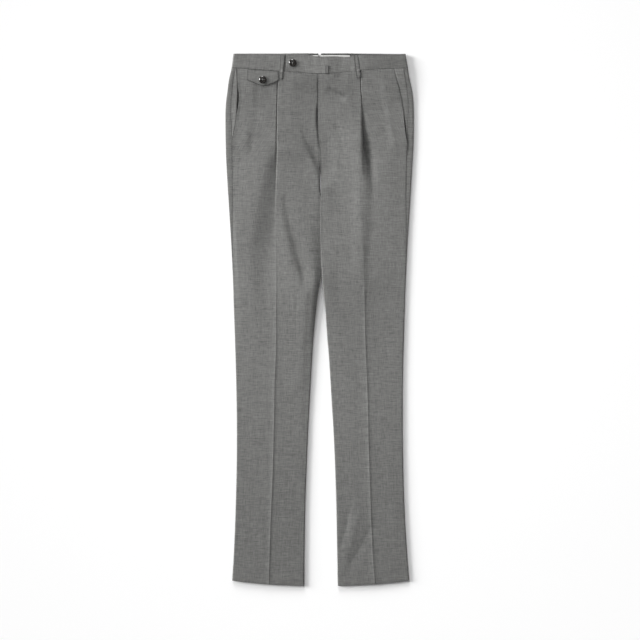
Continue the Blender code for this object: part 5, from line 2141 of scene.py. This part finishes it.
@dataclass
class Sewing:
    """Every visible seam's stitches, where a gauge is their pitch and length."""
    topstitch: float = 4.2          # from a pocket's edge
    edge_stitch: float = 1.5        # from a loop's edge
    flap_stitch: Span = (3.0, 2.2)  # from the flap's sides and from its point
    fly_row: float = 26.7           # from the centre line
    fly_rows: Span = (46.0, 148.0)
    fly_curve: Span = (27.0, 42.0)  # the two radii of its quarter ellipse
    fly_gauge: Span = (2.4, 1.7)
    fly_tack: tuple[Span, Span] = ((1.7, 180.0), (1.7, 190.0))
    fly_tack_gauge: Span = (0.6, 1.9)
    fine_gauge: Span = (2.2, 1.6)
    pocket_foot: float = 2.0        # below the opening's end
    pocket_tack_half: float = 4.5
    pocket_tack_gauge: Span = (0.6, 2.2)
    loop_run: Span = (0.04, 0.96)
    loop_tacks: Span = (0.045, 0.955)
    loop_tack_half: float = 0.42    # share of the loop's width
    loop_tack_gauge: Span = (0.55, 1.9)
    pale_tack: tuple[Span, Span] = ((-188.0, 197.5), (-172.0, 198.8))
    pale_gauge: Span = (1.8, 1.4)

    def _pockets(self, stitches: Stitches) -> None:
        """Adds a row beside each slant opening, and a tack at its foot.

        Args:
            stitches: Where the rows go.
        """
        below = np.linspace(FORM.waist_row, FORM.pocket_end - 3, 90)
        foot = FORM.pocket_end + self.pocket_foot
        for half in Half:
            shifted = Rows(half, below).at_slant()
            edge = SLANT.at(half.label, shifted) - GAPE.at(half.label, below)
            places = np.stack((half.side * (edge - self.topstitch), shifted), -1)
            stitches.line(places, front_surface)
            middle = half.side * (SLANT.at(half.label, foot) - 1)
            ends = (middle - self.pocket_tack_half, middle + self.pocket_tack_half)
            tack = np.array([(end, foot) for end in ends])
            stitches.line(tack, front_surface, *self.pocket_tack_gauge, turned=True)

    def _fly(self, stitches: Stitches) -> None:
        """Adds the row that holds the fly and ends in a quarter ellipse, and the tack at its foot.

        Args:
            stitches: Where the rows go.
        """
        angle = np.linspace(0, math.pi / 2, 20)
        straight = np.array([(self.fly_row, below) for below in self.fly_rows])
        curve = np.stack((
            self.fly_row - self.fly_curve[0] * (1 - np.cos(angle)),
            self.fly_rows[1] + self.fly_curve[1] * np.sin(angle)), -1)
        stitches.line(np.concatenate((straight, curve)), front_surface, *self.fly_gauge)
        stitches.line(np.array(self.fly_tack), front_surface, *self.fly_tack_gauge, turned=True)

    def _loop(self, stitches: Stitches, loop: BeltLoop) -> None:
        """Adds a row along each edge of a loop, and a tack at each end.

        Args:
            stitches: Where the rows go.
            loop: The loop.
        """
        top, bottom = np.array(loop.top), np.array(loop.bottom)
        run = np.linspace(*self.loop_run, 24)[:, None]
        for side in (-0.5, 0.5):
            a, b = (end[:2] + (side * (end[2] - 2 * self.edge_stitch), 0) for end in (top, bottom))
            stitches.line(a + (b - a) * run, loop.thread_level, *self.fine_gauge)
        for share in self.loop_tacks:
            middle = top + (bottom - top) * share
            aside = self.loop_tack_half * middle[2]
            tack = middle[:2] + np.array(((-aside, 0), (aside, 0)))
            stitches.line(tack, loop.thread_level, *self.loop_tack_gauge, turned=True)

    def build(
            self, finishes: Finishes, loops: list[BeltLoop], flap: CoinFlap,
            buttons: list[HornButton]) -> None:
        """Makes the stitches in the cloth's colour, and the paler ones.

        Args:
            finishes: The materials.
            loops: The front's loops.
            flap: The coin pocket's flap.
            buttons: The buttons.
        """
        grey, pale = Stitches(), Stitches()
        self._pockets(grey)
        self._fly(grey)
        for loop in loops:
            self._loop(grey, loop)
        aside, over = self.flap_stitch
        across = np.linspace(flap.bottom[0] + aside, flap.bottom[1] - aside, 60)
        places = np.stack((across, FLAP.at("bottom", across) - over), -1)
        grey.line(places, flap.thread_level, *self.fine_gauge)
        pale.line(np.array(self.pale_tack), front_surface, *self.pale_gauge)
        for button in buttons:
            pale.strand(*button.strands(), button.strand_radius)
        grey.build("seam_stitches", finishes.thread)
        pale.build("pale_stitches", finishes.pale_thread)


@dataclass
class Studio:
    """Floor, camera, lamps and surroundings. Lamps are set by the light that they put on the floor."""
    lens: float = 85.0
    sensor: float = 36.0
    view_width: float = 1.344       # metres of floor that the camera sees across
    focus_level: float = 0.005
    aim: Span = (0.00075, -0.0007)
    floor_half: float = 4500.0
    floor_level: float = -0.3
    # Share of each sun, its height and heading in degrees, and how wide it is
    suns: tuple[tuple[str, float, float, float, float], ...] = (
        ("key", 0.50, 17.0, 164.0, 25.0), ("top", 0.22, 17.0, 100.0, 20.0))
    over_share: float = 0.13
    over_place: tuple[float, float, float] = (-0.1, 0.25, 0.9)
    over_size: float = 0.6
    sky: float = 0.26

    def build(self, floor: Material) -> None:
        """Makes the floor, the camera over the middle and the lamps.

        Args:
            floor: The floor's finish.
        """
        scene = bpy.context.scene
        corners = np.array([
            (x, y, self.floor_level) for x, y in (
                (-self.floor_half, -self.floor_half), (self.floor_half, -self.floor_half),
                (self.floor_half, self.floor_half), (-self.floor_half, self.floor_half))])
        mesh_object("floor", corners, [(0, 1, 2, 3)], floor)
        camera = bpy.data.cameras.new("camera")
        camera.lens = self.lens
        camera.sensor_width = self.sensor
        scene.camera = bpy.data.objects.new("camera", camera)
        distance = self.view_width * self.lens / self.sensor
        scene.camera.location = (*self.aim, distance + self.focus_level)
        scene.collection.objects.link(scene.camera)
        for name, share, height, heading, spread in self.suns:
            height, heading = math.radians(height), math.radians(heading)
            way = (math.cos(height) * math.cos(heading), math.cos(height) * math.sin(heading),
                   math.sin(height))
            sun = self._lamp(name, "SUN", way)
            sun.angle = math.radians(spread)
            sun.energy = share * math.pi / way[2]
        lamp = self._lamp("over", "AREA", self.over_place)
        lamp.size = self.over_size
        distance = math.hypot(*self.over_place)
        lamp.energy = self.over_share * math.pi ** 2 * distance ** 3 / self.over_place[2]
        scene.world = bpy.data.worlds.new("studio")
        scene.world.use_nodes = True
        background = scene.world.node_tree.nodes["Background"]
        background.inputs["Color"].default_value = (1, 1, 1, 1)
        background.inputs["Strength"].default_value = self.sky
        scene.view_settings.view_transform = "Standard"

    @staticmethod
    def _lamp(name: str, kind: str, place: tuple[float, float, float]) -> bpy.types.Light:
        """Makes a lamp that faces the middle of the garment and that the camera doesn't see.

        Args:
            name: Name of the lamp.
            kind: SUN or AREA.
            place: Where it stands, or the way to a sun.

        Returns:
            The lamp.
        """
        lamp = bpy.data.lights.new(name, kind)
        made = bpy.data.objects.new(name, lamp)
        made.location = place
        made.visible_camera = False
        made.rotation_euler = (
            math.acos(place[2] / math.hypot(*place)), 0, math.atan2(place[0], -place[1]))
        bpy.context.scene.collection.objects.link(made)
        return lamp


def main() -> None:
    """Builds and dresses every piece."""
    logging.basicConfig(level=logging.INFO, format="%(message)s")
    finishes = Finishes.make()
    Studio().build(finishes.floor)

    loops = [
        BeltLoop("belt_loop_front_right", (-77.0, 3.8, 9.9), (-81.3, 55.5, 6.8)),
        BeltLoop("belt_loop_front_left", (76.3, 4.6, 9.6), (82.2, 52.5, 9.4), shade=1.3),
        BeltLoop("prong_loop", (15.6, 26.7, 8.0), (14.6, 43.6, 7.8), arch=0.0, crown=0.1, shade=0.5)]
    flap = CoinFlap()
    tab_place = (-56.5, 21.4)
    flap_place = (-119.1, 56.7)
    lift = 0.5
    tab_top = float(band_level(Half.LEFT, np.array(tab_place[0]))) + FORM.band / 2
    flap_top = float(flap.level(*np.array(flap_place)))
    buttons = [
        HornButton("button_tab", *tab_place, tab_top + lift),
        HornButton("button_flap", *flap_place, flap_top + lift, turn=55.0)]

    for half in Half:
        for piece in (BackPanel(half), PocketFacing(half), FrontPanel(half)):
            piece.build(finishes.wool)
        BandLining(half).build(finishes.lining)
    FlyUnderlap().build(finishes.wool)
    right_loop, left_loop, prong_loop = (loop.build(finishes.wool) for loop in loops)
    right_back_loop, left_back_loop = (BackLoop(half).build(finishes.wool) for half in Half)
    tab_button, flap_button = (button.build(finishes.horn) for button in buttons)
    Waistband(Half.RIGHT).build(finishes.wool, (right_loop, right_back_loop))
    Waistband(Half.LEFT).build(finishes.wool, (left_loop, prong_loop, left_back_loop, tab_button))
    flap.build(finishes.wool, (flap_button,))
    Sewing().build(finishes, loops, flap, buttons)


if __name__ == "__main__":
    main()
